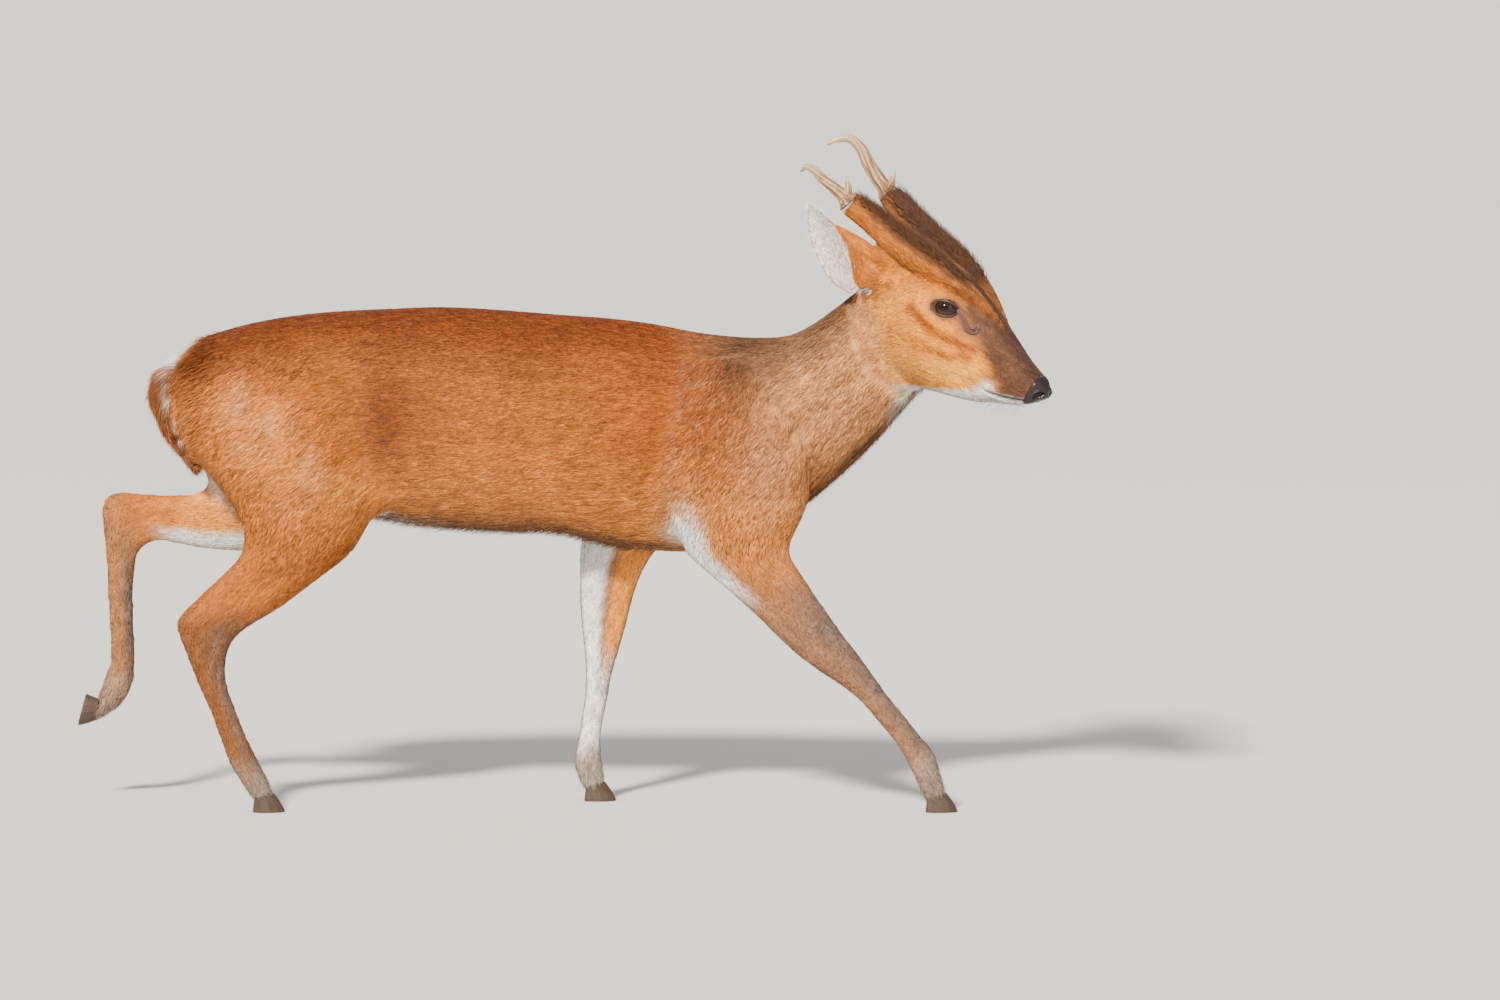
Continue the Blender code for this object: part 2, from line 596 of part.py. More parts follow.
def claws():
    """Eight claws: the lifted foot is turned back about its fetlock."""
    feet = {foot: Matrix.Translation((*toe, 0)) for foot, toe in STANDING_TOES.items()}
    turn = Matrix.Rotation(math.radians(LIFTED_TURN), 4, "Y")
    feet["hind_left"] = Matrix.Translation(Vector(LIFTED_TOE)) @ turn
    made = []
    for foot, place in feet.items():
        for side, tag in ((-1, "a"), (1, "b")):
            claw = hoof_claw(f"hoof_{foot}_{tag}", side)
            claw.data.transform(place)
            made.append(claw)
    return made


def dewclaws(name, spot, lean, side_y):
    """Pair of small claws behind the fetlock."""
    made = []
    x, z = spot
    for k, side in enumerate((-1, 1)):
        path = ((x + 5 * lean[0], z + 5 * lean[1]), (x, z), (x - 4 * lean[0] - 2, z - DEWCLAW_DROP))
        points = [(px, side_y + side * out, pz, radius)
                  for (px, pz), out, radius in zip(path, DEWCLAW_SPREAD, DEWCLAW_RADII)]
        made.append(tube(f"{name}_{k}", points, segments=8, rings=4))
    return made


def locks(name):
    """Flat tapered locks of the tail fringe, along both edges and the tip."""
    made = []
    rows = smooth_rows(TAIL, LOCK_RINGS)
    half, deep = LOCK_HALF
    for k in range(LOCK_START, LOCK_RINGS):
        row = rows[k]
        mid = Vector(((row[0] + row[2]) / 2, 0, (row[1] + row[3]) / 2))
        lean = Vector((row[0] - rows[k - 1][0], 0, row[1] - rows[k - 1][1])).normalized()
        reach = LOCK_REACH[k == LOCK_RINGS - 1]
        for side in (-1, 1):
            root = mid + Vector((0, side * (row[4] - LOCK_INSET), 0)) - lean * 4
            tip = mid + Vector((3, side * (row[4] + LOCK_INSET), 0)) + lean * reach
            front, back = root + Vector((half, 0, 0)), root - Vector((half, 0, 0))
            corners = ((front, deep), (back, deep), (tip, LOCK_TIP * deep))
            verts = [(p + Vector((0, level * thick, 0))) * MM for level in (-1, 1) for p, thick in corners]
            faces = [(0, 1, 2), (3, 5, 4), (0, 3, 4, 1), (1, 4, 5, 2), (2, 5, 3, 0)]
            made.append(make_object(f"{name}_{k}_{side}", verts, faces))
    return made


def build_head_parts():
    """Everything of flesh on the head, before the head turns."""
    head = skin_rings("head_shape", head_rings())
    parts = []
    for side, tag in ((1, "left"), (-1, "right")):
        stalk = PEDICLE if side > 0 else mirrored(PEDICLE)
        parts.append(tube(f"stalk_{tag}", stalk, segments=10, rings=12))
        parts.append(ear(f"ear_shape_{tag}", side))
        parts.append(side_ball(f"ear_root_{tag}", EAR_ROOT, side))
        parts.append(side_ball(f"brow_{tag}", BROW, side))
        parts.append(lid_ring(f"lids_{tag}", side))
    return head, parts


def body_saws():
    """Thin cuts that part the flesh of the body into nodes."""
    made = [slab(f"saw_{name}", *cut) for name, cut in BODY_CUTS.items()]
    made.append(strip("saw_tail", TAIL_SAW, GAP, CUT_HALF_WIDTH))
    return made


def head_saws():
    """Thin cuts on the head, made before it turns."""
    made = [strip("saw_jaw", (*MOUTH_LINE, *JAW_CUT_BEND, JAW_BREAK), GAP, CUT_HALF_WIDTH),
            slab("saw_nose", *NOSE_CUT),
            slab("saw_skull", *SKULL_CUT, narrow=SKULL_CUT_NARROWS)]
    for side, tag in ((1, "left"), (-1, "right")):
        base, tip, mouth = (Vector(v) for v in EARS[side])
        lean = (tip - base).normalized()
        along, out, radius = EAR_CUT
        made.append(round_slab(f"saw_ear_{tag}", (base + lean * along + mouth * out) * MM, lean, radius))
        first, second, radius = PEDICLE_CUT
        low, high = (Vector((x, side * y, z)) for x, y, z, _ in (PEDICLE[first], PEDICLE[second]))
        made.append(round_slab(f"saw_pedicle_{tag}", (low + high) / 2 * MM, high - low, radius, sides=12))
    return made


def head_hollows():
    """Sockets, nostrils and the slit of the gland before each eye."""
    made = []
    for side, tag in ((1, "left"), (-1, "right")):
        made.append(side_ball(f"socket_{tag}", (EYE_SPOT, (EYE_RADIUS + GAP,) * 3), side, 16))
        made.append(side_ball(f"nostril_{tag}", NOSTRIL, side))
        made.append(side_ball(f"gland_{tag}", GLAND_SLIT, side))
    return made


def paint(item, shade):
    item.data.materials.clear()
    item.data.materials.append(shade)
    for face in item.data.polygons:
        face.material_index = 0


def soften(item, boxes, times):
    """Evens out the vertices inside the boxes, each moved half way to its neighbours' mean."""
    work = bmesh.new()
    work.from_mesh(item.data)
    chosen = [v for v in work.verts
              if any(all(low[k] < v.co[k] < high[k] for k in range(3)) for low, high in boxes)]
    for _ in range(times):
        bmesh.ops.smooth_vert(work, verts=chosen, factor=0.5,
                              use_axis_x=True, use_axis_y=True, use_axis_z=True)
    work.to_mesh(item.data)
    work.free()


def split_bodies(flesh, spots):
    """Splits a sawn mesh into its bodies and names each by the spot nearest its middle."""
    work = bmesh.new()
    work.from_mesh(flesh.data)
    bpy.data.objects.remove(flesh, do_unlink=True)
    bodies = []
    left = set(work.verts)
    while left:
        seed = left.pop()
        found, edge = {seed}, [seed]
        while edge:
            vert = edge.pop()
            for link in vert.link_edges:
                other = link.other_vert(vert)
                if other not in found:
                    found.add(other)
                    edge.append(other)
        left -= found
        faces = {face for vert in found for face in vert.link_faces}
        bodies.append([sorted(group, key=lambda item: item.index) for group in (found, faces)])
    named = {}
    for found, faces in bodies:
        low = Vector([min(v.co[k] for v in found) for k in range(3)])
        high = Vector([max(v.co[k] for v in found) for k in range(3)])
        middle = (low + high) / 2
        name = min(spots, key=lambda key: (spots[key] - middle).length)
        if name in named:
            raise ValueError(f"two bodies lie nearest the spot of {name}")
        order = {vert: k for k, vert in enumerate(found)}
        named[name] = make_object(name, [vert.co for vert in found],
                                  [tuple(order[v] for v in face.verts) for face in faces])
    work.free()
    if len(named) != len(spots):
        raise ValueError(f"a cut left nodes joined: {sorted(set(spots) - set(named))}")
    return named


def limbs_and_tail():
    """Four legs, the tail with its fringe, and the dewclaws."""
    made = [skin_rings(name, limb_rings(rows, rings)) for name, (rows, rings) in LIMBS.items()]
    made += locks("lock")
    for name, (spot, lean, middle) in DEWCLAWS.items():
        made += dewclaws(name, spot, lean, middle)
    return made


def flesh_nodes():
    """Trunk, limbs and head joined into one body, hollowed, then sawn into its nodes."""
    head, head_parts = build_head_parts()
    joined = [*limbs_and_tail(), *to_head([head, *head_parts])]
    flesh = boolean(skin_rings("flesh", trunk_rings()), joined, "UNION")
    soften(flesh, SOFT_SPOTS, SOFT_TIMES)
    flesh = boolean(flesh, to_head(head_hollows()), "DIFFERENCE")
    flesh = boolean(flesh, [*body_saws(), *to_head(head_saws())], "DIFFERENCE")
    spots = {name: Vector(spot) for name, spot in NODE_SPOTS.items()}
    spots.update({name: head_place() @ Vector(spot) for name, spot in HEAD_SPOTS.items()})
    return split_bodies(flesh, spots)


def antler(side, tag):
    """Beam and brow tine of one antler, parted by a thin cut above the fork."""
    rows = LEFT_BEAM if side > 0 else mirrored(RIGHT_BEAM)
    fork = LEFT_TINE if side > 0 else mirrored(RIGHT_TINE)
    whole = boolean(tube(f"antler_{tag}", rows, *BEAM_MESH), [tube("tine", fork, *TINE_MESH)], "UNION")
    lean = Vector(fork[1][:3]) - Vector(fork[0][:3])
    share, size = TINE_CUT
    saw = slab("saw_tine", (Vector(fork[1][:3]) + lean * share) * MM, lean, size)
    whole = boolean(whole, [saw], "DIFFERENCE")
    spots = {f"antler_{tag}_beam": Vector(rows[3][:3]) * MM,
             f"antler_{tag}_brow_tine": Vector(fork[2][:3]) * MM}
    return split_bodies(whole, spots)


def build():
    """Every node of the deer by name, moved so that its box is centred on the origin."""
    nodes = flesh_nodes()
    for side, tag in ((1, "left"), (-1, "right")):
        eye = side_ball(f"eye_{tag}", (EYE_SPOT, (EYE_RADIUS,) * 3), side, 16)
        made = {eye.name: eye, **antler(side, tag)}
        to_head(made.values())
        nodes.update(made)
    nodes.update({claw.name: claw for claw in claws()})
    for item in nodes.values():
        item.data.transform(Matrix.Translation(BOX_SHIFT))
    return nodes


clear_scene()
red_coat = colour("red_coat", (0.42, 0.17, 0.06))
grey_coat = colour("grey_coat", (0.30, 0.17, 0.09))
leg_coat = colour("leg_coat", (0.20, 0.12, 0.07))
head_coat = colour("head_coat", (0.50, 0.24, 0.09))
ear_skin = colour("ear_skin", (0.55, 0.36, 0.26))
pale_coat = colour("pale_coat", (0.75, 0.66, 0.55))
nose_skin = colour("nose_skin", (0.02, 0.018, 0.018), 0.35)
eye_gloss = colour("eye_gloss", (0.015, 0.008, 0.005), 0.05)
antler_bone = colour("antler_bone", (0.62, 0.50, 0.34), 0.5)
hoof_horn = colour("hoof_horn", (0.06, 0.045, 0.035), 0.45)
SHADES = {"neck": grey_coat, "head": head_coat, "lower_jaw": pale_coat, "nose": nose_skin, "ear": ear_skin,
          "eye": eye_gloss, "antler": antler_bone, "hoof": hoof_horn, "cannon": leg_coat, "forearm": leg_coat,
          "pedicle": head_coat}

for node, solid in build().items():
    shade = next((SHADES[key] for key in SHADES if node.startswith(key)), red_coat)
    paint(solid, shade)
    solid.data.shade_smooth()
    solid.data.set_sharp_from_angle(angle=math.radians(50))
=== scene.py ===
import math
import time
import bmesh
import bpy
import numpy as np
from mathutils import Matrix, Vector


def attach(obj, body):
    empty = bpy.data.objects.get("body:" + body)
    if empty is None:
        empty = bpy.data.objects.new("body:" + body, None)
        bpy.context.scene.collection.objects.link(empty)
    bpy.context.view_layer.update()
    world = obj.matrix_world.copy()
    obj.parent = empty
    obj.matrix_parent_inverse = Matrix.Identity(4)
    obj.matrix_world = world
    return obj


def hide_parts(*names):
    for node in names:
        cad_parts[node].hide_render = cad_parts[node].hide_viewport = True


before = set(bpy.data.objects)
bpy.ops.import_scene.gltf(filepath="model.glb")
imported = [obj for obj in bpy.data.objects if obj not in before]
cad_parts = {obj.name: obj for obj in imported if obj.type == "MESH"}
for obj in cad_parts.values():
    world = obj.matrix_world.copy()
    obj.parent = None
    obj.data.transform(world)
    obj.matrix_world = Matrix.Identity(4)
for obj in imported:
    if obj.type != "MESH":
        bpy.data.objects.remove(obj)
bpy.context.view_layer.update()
startTime = time.time()
mm = 0.001
deerShift = np.array([0.0013, 0.0111, 0.0])      # as the solids stand in their box


def say(words):
    print(f"[{time.time() - startTime:5.1f} s] {words}")


# Side profiles in millimetres, trunk from the rump forwards and limbs from the body down.
# A row is: upper or front x, z, lower or rear x, z, half width, middle y, level of the widest line and
# squareness; the last two are .5 and 2.2 where they are left out.
profiles = {
    "trunk": [
        (-408, 452, -402, 402, 26, 0, .50), (-401, 470, -392, 377, 46, 0, .50),
        (-384, 490, -376, 356, 57, 0, .50), (-349, 505, -339, 341, 63, 0, .52),
        (-302, 516, -286, 331, 68, 0, .54), (-244, 523, -228, 313, 70, 0, .54),
        (-186, 526, -179, 301, 70, 0, .52), (-129, 528, -129, 295, 77, 0, .47),
        (-66, 525, -66, 291, 82, 0, .44), (-3, 520, -3, 289, 83, 0, .44), (50, 516, 55, 275, 79, 0, .46),
        (97, 510, 108, 269, 72, 0, .48), (144, 501, 160, 271, 65, 0, .48),
        (181, 497, 207, 282, 58, 0, .48), (213, 496, 244, 309, 52, -.1, .48),
        (239, 499, 277, 336, 47, -.9, .48), (262, 510, 308, 364, 45, -2.4, .50),
        (284, 526, 336, 393, 43, -4.3, .50), (302, 541, 360, 421, 42, -6.4, .50),
        (318, 556, 383, 446, 42, -8.6, .50)],
    "hindRight": [
        (-244, 471, -386, 440, 22, -38), (-202, 413, -395, 405, 32, -42), (-193, 345, -382, 366, 34, -44),
        (-196, 306, -358, 333, 33, -46), (-213, 282, -337, 301, 30, -48), (-228, 266, -334, 280, 26, -50),
        (-249, 250, -341, 265, 22, -52), (-276, 229, -358, 248, 17.5, -53),
        (-299, 212, -381, 227, 14.5, -54), (-323, 198, -397, 211, 12.5, -55),
        (-338, 188, -405, 201, 12.5, -55), (-347, 175, -402, 186, 12.5, -55),
        (-352, 159, -394, 165, 11, -55), (-350, 133, -383, 136, 9.2, -55), (-340, 104, -370, 107, 9, -55),
        (-329, 76, -359, 77, 9.6, -55), (-317, 52, -347, 47, 11.5, -55), (-309, 35, -334, 27, 11, -55),
        (-303.4, 20.2, -324.9, 13.9, 12, -55)],
    "hindLeft": [
        (-249, 461, -386, 430, 22, 38), (-228, 393, -392, 388, 32, 42), (-228, 335, -381, 352, 33, 44),
        (-258, 283, -373, 336, 29, 46), (-328, 266, -384, 328, 21, 49), (-379, 268, -404, 325, 15.5, 52),
        (-410, 273, -431, 325, 12.5, 54), (-428, 276, -454, 327, 12, 55), (-440, 271, -475, 327, 12, 55),
        (-448, 263, -486, 317, 12, 55), (-451, 246, -486, 295, 11.5, 55), (-453, 223, -483, 257, 9.8, 55),
        (-453, 193, -481, 209, 9, 55), (-452, 164, -479, 172, 9, 55), (-452, 139, -479, 146, 9.8, 55),
        (-456, 118, -485, 131, 11.5, 55), (-468, 101, -488, 121, 11, 55),
        (-489.8, 87, -490.3, 109, 12, 55)],
    "foreRight": [
        (190, 478, 132, 475, 14, -34), (226, 430, 121, 430, 25, -40), (256, 382, 113, 387, 31, -44),
        (260, 345, 111, 345, 32, -46), (256, 319, 115, 314, 30, -48), (246, 298, 124, 285, 27, -50),
        (239, 282, 134, 269, 24, -51), (240, 268, 157, 248, 21, -52), (249, 253, 181, 227, 17.5, -53),
        (265, 229, 207, 203, 14.5, -54), (281, 206, 228, 182, 13, -55), (295, 186, 249, 163, 12.5, -55),
        (309, 168, 271, 147, 12.5, -55), (325, 146, 295, 131, 11, -55), (340, 125, 314, 115, 9.2, -55),
        (358, 103, 333, 92, 8.8, -55), (375, 81, 351, 71, 9.6, -55), (391, 61, 362, 52, 11.5, -55),
        (397, 39, 372, 31, 11, -55), (402.2, 20.2, 380.7, 13.9, 12, -55)],
    "foreLeft": [
        (180, 468, 124, 465, 14, 34), (200, 422, 108, 420, 25, 40), (196, 372, 84, 378, 31, 44),
        (170, 330, 48, 336, 32, 46), (134, 297, 24, 299, 28, 49), (100, 269, 18, 269, 24, 51),
        (83, 242, 17, 241, 20, 53), (73, 214, 17, 214, 16, 54), (66, 185, 19, 185, 13.5, 55),
        (58, 158, 22, 155, 12.5, 55), (51, 132, 23, 130, 10.8, 55), (46, 105, 21, 104, 8.8, 55),
        (40, 72, 16, 71, 9.2, 55), (40, 46, 11, 41, 11.5, 55), (42, 33, 15, 26, 11, 55),
        (43, 20.2, 21.5, 13.9, 12, 55)],
    "tail": [
        (-392, 486, -366, 486, 7, 0), (-413, 471, -388, 470, 14, 0), (-427, 456, -402, 452, 19, 0),
        (-433, 438, -407, 435, 21, 0), (-430, 420, -407, 419, 21.5, 0), (-424, 402, -405, 401, 20, 0),
        (-414, 385, -399, 384, 16, 0), (-402, 369, -391, 370, 11, 0), (-393, 356, -386, 357, 5, 0)],
    "head": [
        (-16, 532, 12, 478, 24, 0, .50, 2.0), (-8, 560, 26, 453, 34, 0, .50, 2.0),
        (12, 577, 45, 447, 40, 0, .54, 2.1), (41, 586, 64, 443, 44, 0, .58, 2.2),
        (70, 585, 81, 440, 45, 0, .62, 2.4), (97, 574, 95, 437, 41, 0, .64, 2.6),
        (116, 560, 108, 434, 32, 0, .60, 2.5), (133, 541, 122, 432, 25, 0, .52, 2.5),
        (151, 519, 137, 432, 21.5, 0, .48, 2.5), (168, 496, 151, 431, 19.5, 0, .48, 2.4),
        (182, 477, 163, 430, 18.5, 0, .50, 2.3), (193, 465, 174, 430, 17.5, 0, .52, 2.2),
        (200, 457, 184, 431.5, 15, 0, .52, 2.1), (203, 450, 193, 436, 9, 0, .52, 2.0)],
}
headFrame = {"pivot": (.325, -.010, 0), "yaw": 25.0}     # drawn straight, then turned right
ears = {                    # root, tip, way the cup opens
    "earLeft": ((14, 33, 551), (-62, 62, 579), (-.45, .15, .88)),
    "earRight": ((8, -34, 552), (-37, -77, 637), (-.45, -.87, 0)),
    "shape": [                  # share of length, half width, depth, angle of the wall
        (0, 13, 15, 140), (.15, 19, 20, 128), (.32, 24.5, 21.5, 108), (.52, 27, 17, 92), (.72, 23.5, 11, 85),
        (.88, 15, 7, 80), (1, 3.5, 4, 75)],
    "wall": 3.4,
}
# tubes in the straight head: x, y, z, radius in mm; web and funnel close the near ear's root
stalkPath = [(152, 8, 512, 3), (129, 17, 540, 7.5), (105, 26, 559.5, 12), (84, 30, 574, 16),
             (62, 34, 588.5, 17), (39, 39, 606, 15.8), (16, 45, 626, 14.3), (0, 51, 638.5, 13.5)]
knobPath = [(38, 28, 545, 3), (30, 29, 551, 13), (20, 31, 556, 15), (10, 33, 559, 8)]
earWeb = [(46, -30, 558, 8), (32, -36, 562, 11), (18, -41, 567, 12), (6, -46, 576, 10), (-3, -52, 590, 6.5),
          (-9, -57, 602, 3.5)]
earFunnel = [(48, -27, 565, 4), (39, -33, 573, 8), (24, -42, 584, 8.5), (9, -50, 597, 7), (-6, -56, 609, 4.5),
             (-15, -60, 617, 2)]


def unit(v):
    return v / np.maximum(np.linalg.norm(v, axis=-1, keepdims=True), 1e-12)


def mirrored(path, side):
    # rows of x, y, z and more, with y on the side asked for
    rows = np.asarray(path, float).copy()
    rows[:, 1] *= side
    return rows


def smoothRows(rows, count):
    # cubic pieces through every row, resampled evenly along the first three columns
    rows = np.asarray(rows, float)
    steps = np.linalg.norm(np.diff(rows[:, :3], axis=0), axis=1) + 1e-9
    along = np.concatenate([[0], np.cumsum(steps)])
    slope = np.gradient(rows, along, axis=0)
    at = np.linspace(0, along[-1], count)
    k = np.clip(np.searchsorted(along, at, side="right") - 1, 0, len(rows) - 2)
    h = (along[k + 1] - along[k])[:, None]
    t = (at - along[k])[:, None] / h
    return ((2 * t**3 - 3 * t**2 + 1) * rows[k] + (t**3 - 2 * t**2 + t) * h * slope[k]
            + (3 * t**2 - 2 * t**3) * rows[k + 1] + (t**3 - t**2) * h * slope[k + 1])


def turned(p, way):
    # a turn about the upright line by the head's angle: x cos - y sin, x sin + y cos
    a = -math.radians(headFrame["yaw"]) * way
    x, y, z = p[..., 0], p[..., 1], p[..., 2]
    return np.stack([x * math.cos(a) - y * math.sin(a), x * math.sin(a) + y * math.cos(a), z], axis=-1)


def turnHead(p):
    # straight head to the deer's own frame, in metres
    return turned(np.asarray(p, float), 1) + headFrame["pivot"]


def unturnHead(p):
    return turned(p - headFrame["pivot"], -1)


def profileKeys(name, count):
    # rows spaced evenly along the middle line of the paired points
    rows = np.array([row + (.5, 2.2)[len(row) - 6:] for row in profiles[name]], float)
    middle = [(rows[:, 0] + rows[:, 2]) / 2, 0 * rows[:, 0], (rows[:, 1] + rows[:, 3]) / 2]
    return smoothRows(np.column_stack([*middle, rows]), count)[:, 3:]


def superellipses(keys, segments):
    # rings in mm between the paired points: cosine and sine, each to the power of 2 / squareness
    frontX, topZ, rearX, lowZ, half, middle, level, square = (keys[:, k:k + 1] for k in range(8))
    turn = np.linspace(0, 2 * math.pi, segments, endpoint=False)[None]
    across, rise = (np.sign(v) * np.abs(v) ** (2 / square) for v in (np.cos(turn), np.sin(turn)))
    share = np.where(rise >= 0, level + rise * (1 - level), level + rise * level)
    x, z = rearX + (frontX - rearX) * share, lowZ + (topZ - lowZ) * share
    return np.stack([x, half * across + middle, z], axis=-1)


def profileGrid(name, count, segments):
    grid = superellipses(profileKeys(name, count), segments) * mm
    return turnHead(grid) if name == "head" else grid


def tubeRings(rows, segments, radius=None, up=(0, 1, 0)):
    # circles carried square to smooth rows: middle + radius (cos side + sin other)
    lean = unit(np.gradient(rows[:, :3], axis=0))
    side = unit(np.cross(lean, up))[:, None]
    other = np.cross(side[:, 0], lean)[:, None]
    turn = np.linspace(0, 2 * math.pi, segments, endpoint=False)[None, :, None]
    radius = rows[:, None, 3:4] if radius is None else radius[..., None]
    return rows[:, None, :3] + radius * (np.cos(turn) * side + np.sin(turn) * other)


def headTube(path, count, segments, side=1):
    return turnHead(tubeRings(smoothRows(mirrored(path, side), count), segments) * mm)


def earGrid(name, count):
    # crescents along the ear, outer arc then inner arc, narrowing to the tip
    root, tip, mouth = (np.asarray(v, float) for v in ears[name])
    length = np.linalg.norm(tip - root)
    lean = (tip - root) / length
    mouth = unit(mouth - lean * mouth.dot(lean))
    across = np.cross(lean, mouth)
    shape = np.asarray(ears["shape"], float)
    at = shape[:, 0]
    rows = smoothRows(np.column_stack([at * length, 0 * at, 0 * at, shape]), count)[:, 3:]
    share, half, hollow, opened = (rows[:, k][:, None] for k in range(4))
    wall = np.minimum(ears["wall"] * (1.15 - .3 * share), half * .6)
    arc = 2 * np.arange(13)[None] / 12 - 1
    a = np.radians(opened) * np.concatenate([arc, arc[:, ::-1]], axis=1)
    thin = np.concatenate([0 * wall * arc, wall * np.ones_like(arc)], axis=1)
    centre = root + (tip - root) * share[..., None] + mouth * 4 * np.sin(math.pi * share)[..., None]
    grid = (centre + across * ((half - thin) * np.sin(a))[..., None]
            - mouth * ((hollow - thin) * np.cos(a) - hollow * .35)[..., None])
    return turnHead(grid * mm)


def gridFaces(rings, size, first=0, closed=False):
    # quads between neighbours, round each ring, and from the last ring to the first where it is closed
    r, s = np.meshgrid(np.arange(rings if closed else rings - 1), np.arange(size), indexing="ij")
    t, q = (s + 1) % size, (r + 1) % rings
    corners = [r * size + s, r * size + t, q * size + t, q * size + s]
    return (np.stack(corners, axis=-1).reshape(-1, 4) + first).tolist()


def addShell(verts, faces, grid, flat=False):
    # rings closed at both ends, by a strip on a crescent and by one face on other rings
    rings, size = grid.shape[:2]
    first = sum(len(v) for v in verts)
    verts.append(grid.reshape(-1, 3))
    faces += gridFaces(rings, size, first)
    last = first + (rings - 1) * size
    if flat:
        s = np.arange(size // 2 - 1)
        for at in (first, last):
            faces += np.stack([at + s, at + s + 1, at + size - 2 - s, at + size - 1 - s], axis=-1).tolist()
    else:
        faces += [list(range(first, first + size)), list(range(last, last + size))]


def meshObject(name, verts, faces, smooth=True):
    mesh = bpy.data.meshes.new(name)
    mesh.from_pydata(np.asarray(verts, float).tolist(), [], faces)
    mesh.update()
    if smooth:
        mesh.shade_smooth()
    piece = bpy.data.objects.new(name, mesh)
    bpy.context.scene.collection.objects.link(piece)
    return piece


def turnOut(piece):
    work = bmesh.new()
    work.from_mesh(piece.data)
    bmesh.ops.recalc_face_normals(work, faces=work.faces)
    work.to_mesh(piece.data)
    work.free()


def headPiece(name, verts, faces):
    # a closed piece drawn in mm in the straight head, put where the head is
    piece = meshObject(name, turnHead(verts * mm) + deerShift, faces)
    turnOut(piece)
    return piece


def dress(piece, material, slotName, *nodes):
    # what every piece needs: a material, the body it rides on and the solids it stands for; its slot's name
    # is not used
    piece.data.materials.append(material)
    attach(piece, "root")
    if nodes:
        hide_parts(*nodes)


skinShape = {
    "voxel": .0060,          # grid of the remesh
    "zoomHead": 3.0,         # how much finer on the head
    "zoomCentre": (.415, -.045, .54),
    "zoomReach": (.12, .27),
}


def zoomTable():
    # distance from the head's middle against its stretched distance
    r = np.linspace(0, 2.5, 3000)
    near, far = skinShape["zoomReach"]
    t = np.clip((r - near) / (far - near), 0, 1)
    rate = 1 + (skinShape["zoomHead"] - 1) * (1 - t * t * (3 - 2 * t))
    return r, np.concatenate([[0], np.cumsum((rate[1:] + rate[:-1]) / 2 * np.diff(r))])


def zoom(p, back=False):
    r, s = zoomTable()
    if back:
        r, s = s, r
    centre = np.array(skinShape["zoomCentre"])
    d = p - centre
    dist = np.linalg.norm(d, axis=1)[:, None] + 1e-9
    return centre + d / dist * np.interp(dist, r, s)


def fetch(items, key, size, kind=float):
    values = np.empty(len(items) * size, kind)
    items.foreach_get(key, values)
    return values.reshape(-1, size)


def blur(values, edges, times, weight=.5):
    # each vertex moved towards the mean of its neighbours
    values = np.array(values, float)
    flat = values.ndim == 1
    if flat:
        values = values[:, None]
    count = len(values)
    a, b = edges.T
    degree = np.bincount(edges.ravel(), minlength=count)[:, None] + 1e-9
    weight = np.broadcast_to(np.asarray(weight, float), (count,))[:, None]
    for _ in range(times):
        total = [np.bincount(a, v[b], count) + np.bincount(b, v[a], count) for v in values.T]
        values += weight * (np.stack(total, axis=1) / degree - values)
    return values[:, 0] if flat else values


def ramp(x, low, high):
    # smooth step from 0 at low to 1 at high
    t = np.clip((x - low) / (high - low), 0, 1)
    return t * t * (3 - 2 * t)


def bump(x, centre, width):
    return np.exp(-((x - centre) / width) ** 2)


def spot(x, z, centreX, centreZ, wide, tall):
    # oval patch that fades outwards
    return np.exp(-((x - centreX) / wide) ** 2 - ((z - centreZ) / tall) ** 2)


# parts by number: legs are 2 to 5, ears 7 and 8, stalks 9 and 10
regionNames = ["trunk", "head", "hindRight", "hindLeft", "foreRight", "foreLeft", "tail",
               "earLeft", "earRight", "stalkLeft", "stalkRight"]
lieSense = [-1, -1, 1, 1, 1, 1, 1, 1, 1, 1, 1]      # the coat lies along the rows, or against them


def buildSkin():
    # closed shells of every part, made one by a voxel remesh in a space that is stretched round the head
    verts, faces = [], []
    for name in ("trunk", "head"):
        addShell(verts, faces, profileGrid(name, 60, 48))
    for name in regionNames[2:6]:
        grid = profileGrid(name, 60, 28)
        addShell(verts, faces, np.concatenate([grid, grid[-1:] + (grid[-1:] - grid[-2:-1]) * .4]))
    addShell(verts, faces, profileGrid("tail", 30, 28))
    for name in ("earLeft", "earRight"):
        addShell(verts, faces, earGrid(name, 26), flat=True)
    for side in (1, -1):
        addShell(verts, faces, headTube(stalkPath, 24, 20, side))
        addShell(verts, faces, headTube(knobPath, 12, 16, side))
    addShell(verts, faces, headTube(earFunnel, 16, 16))
    addShell(verts, faces, headTube(earWeb, 16, 16))
    rough = meshObject("rough", zoom(np.concatenate(verts)), faces, smooth=False)
    turnOut(rough)
    step = rough.modifiers.new("remesh", "REMESH")
    step.mode = "VOXEL"
    step.voxel_size = skinShape["voxel"]
    done = bpy.data.meshes.new_from_object(rough.evaluated_get(bpy.context.evaluated_depsgraph_get()))
    bpy.data.objects.remove(rough, do_unlink=True)
    done.vertices.foreach_set("co", zoom(fetch(done.vertices, "co", 3), back=True).ravel())
    say(f"skin remeshed, {len(done.polygons)} faces")
    return done


def nearestSpot(points, spots):
    # index of the closest spot, by blocks of whole distance tables
    few = spots.astype(np.float32)
    square = (few**2).sum(1)[None]
    found = np.empty(len(points), int)
    for k in range(0, len(points), 4000):
        block = points[k:k + 4000].astype(np.float32)
        found[k:k + 4000] = np.argmin(square - 2 * block @ few.T, axis=1)
    return found


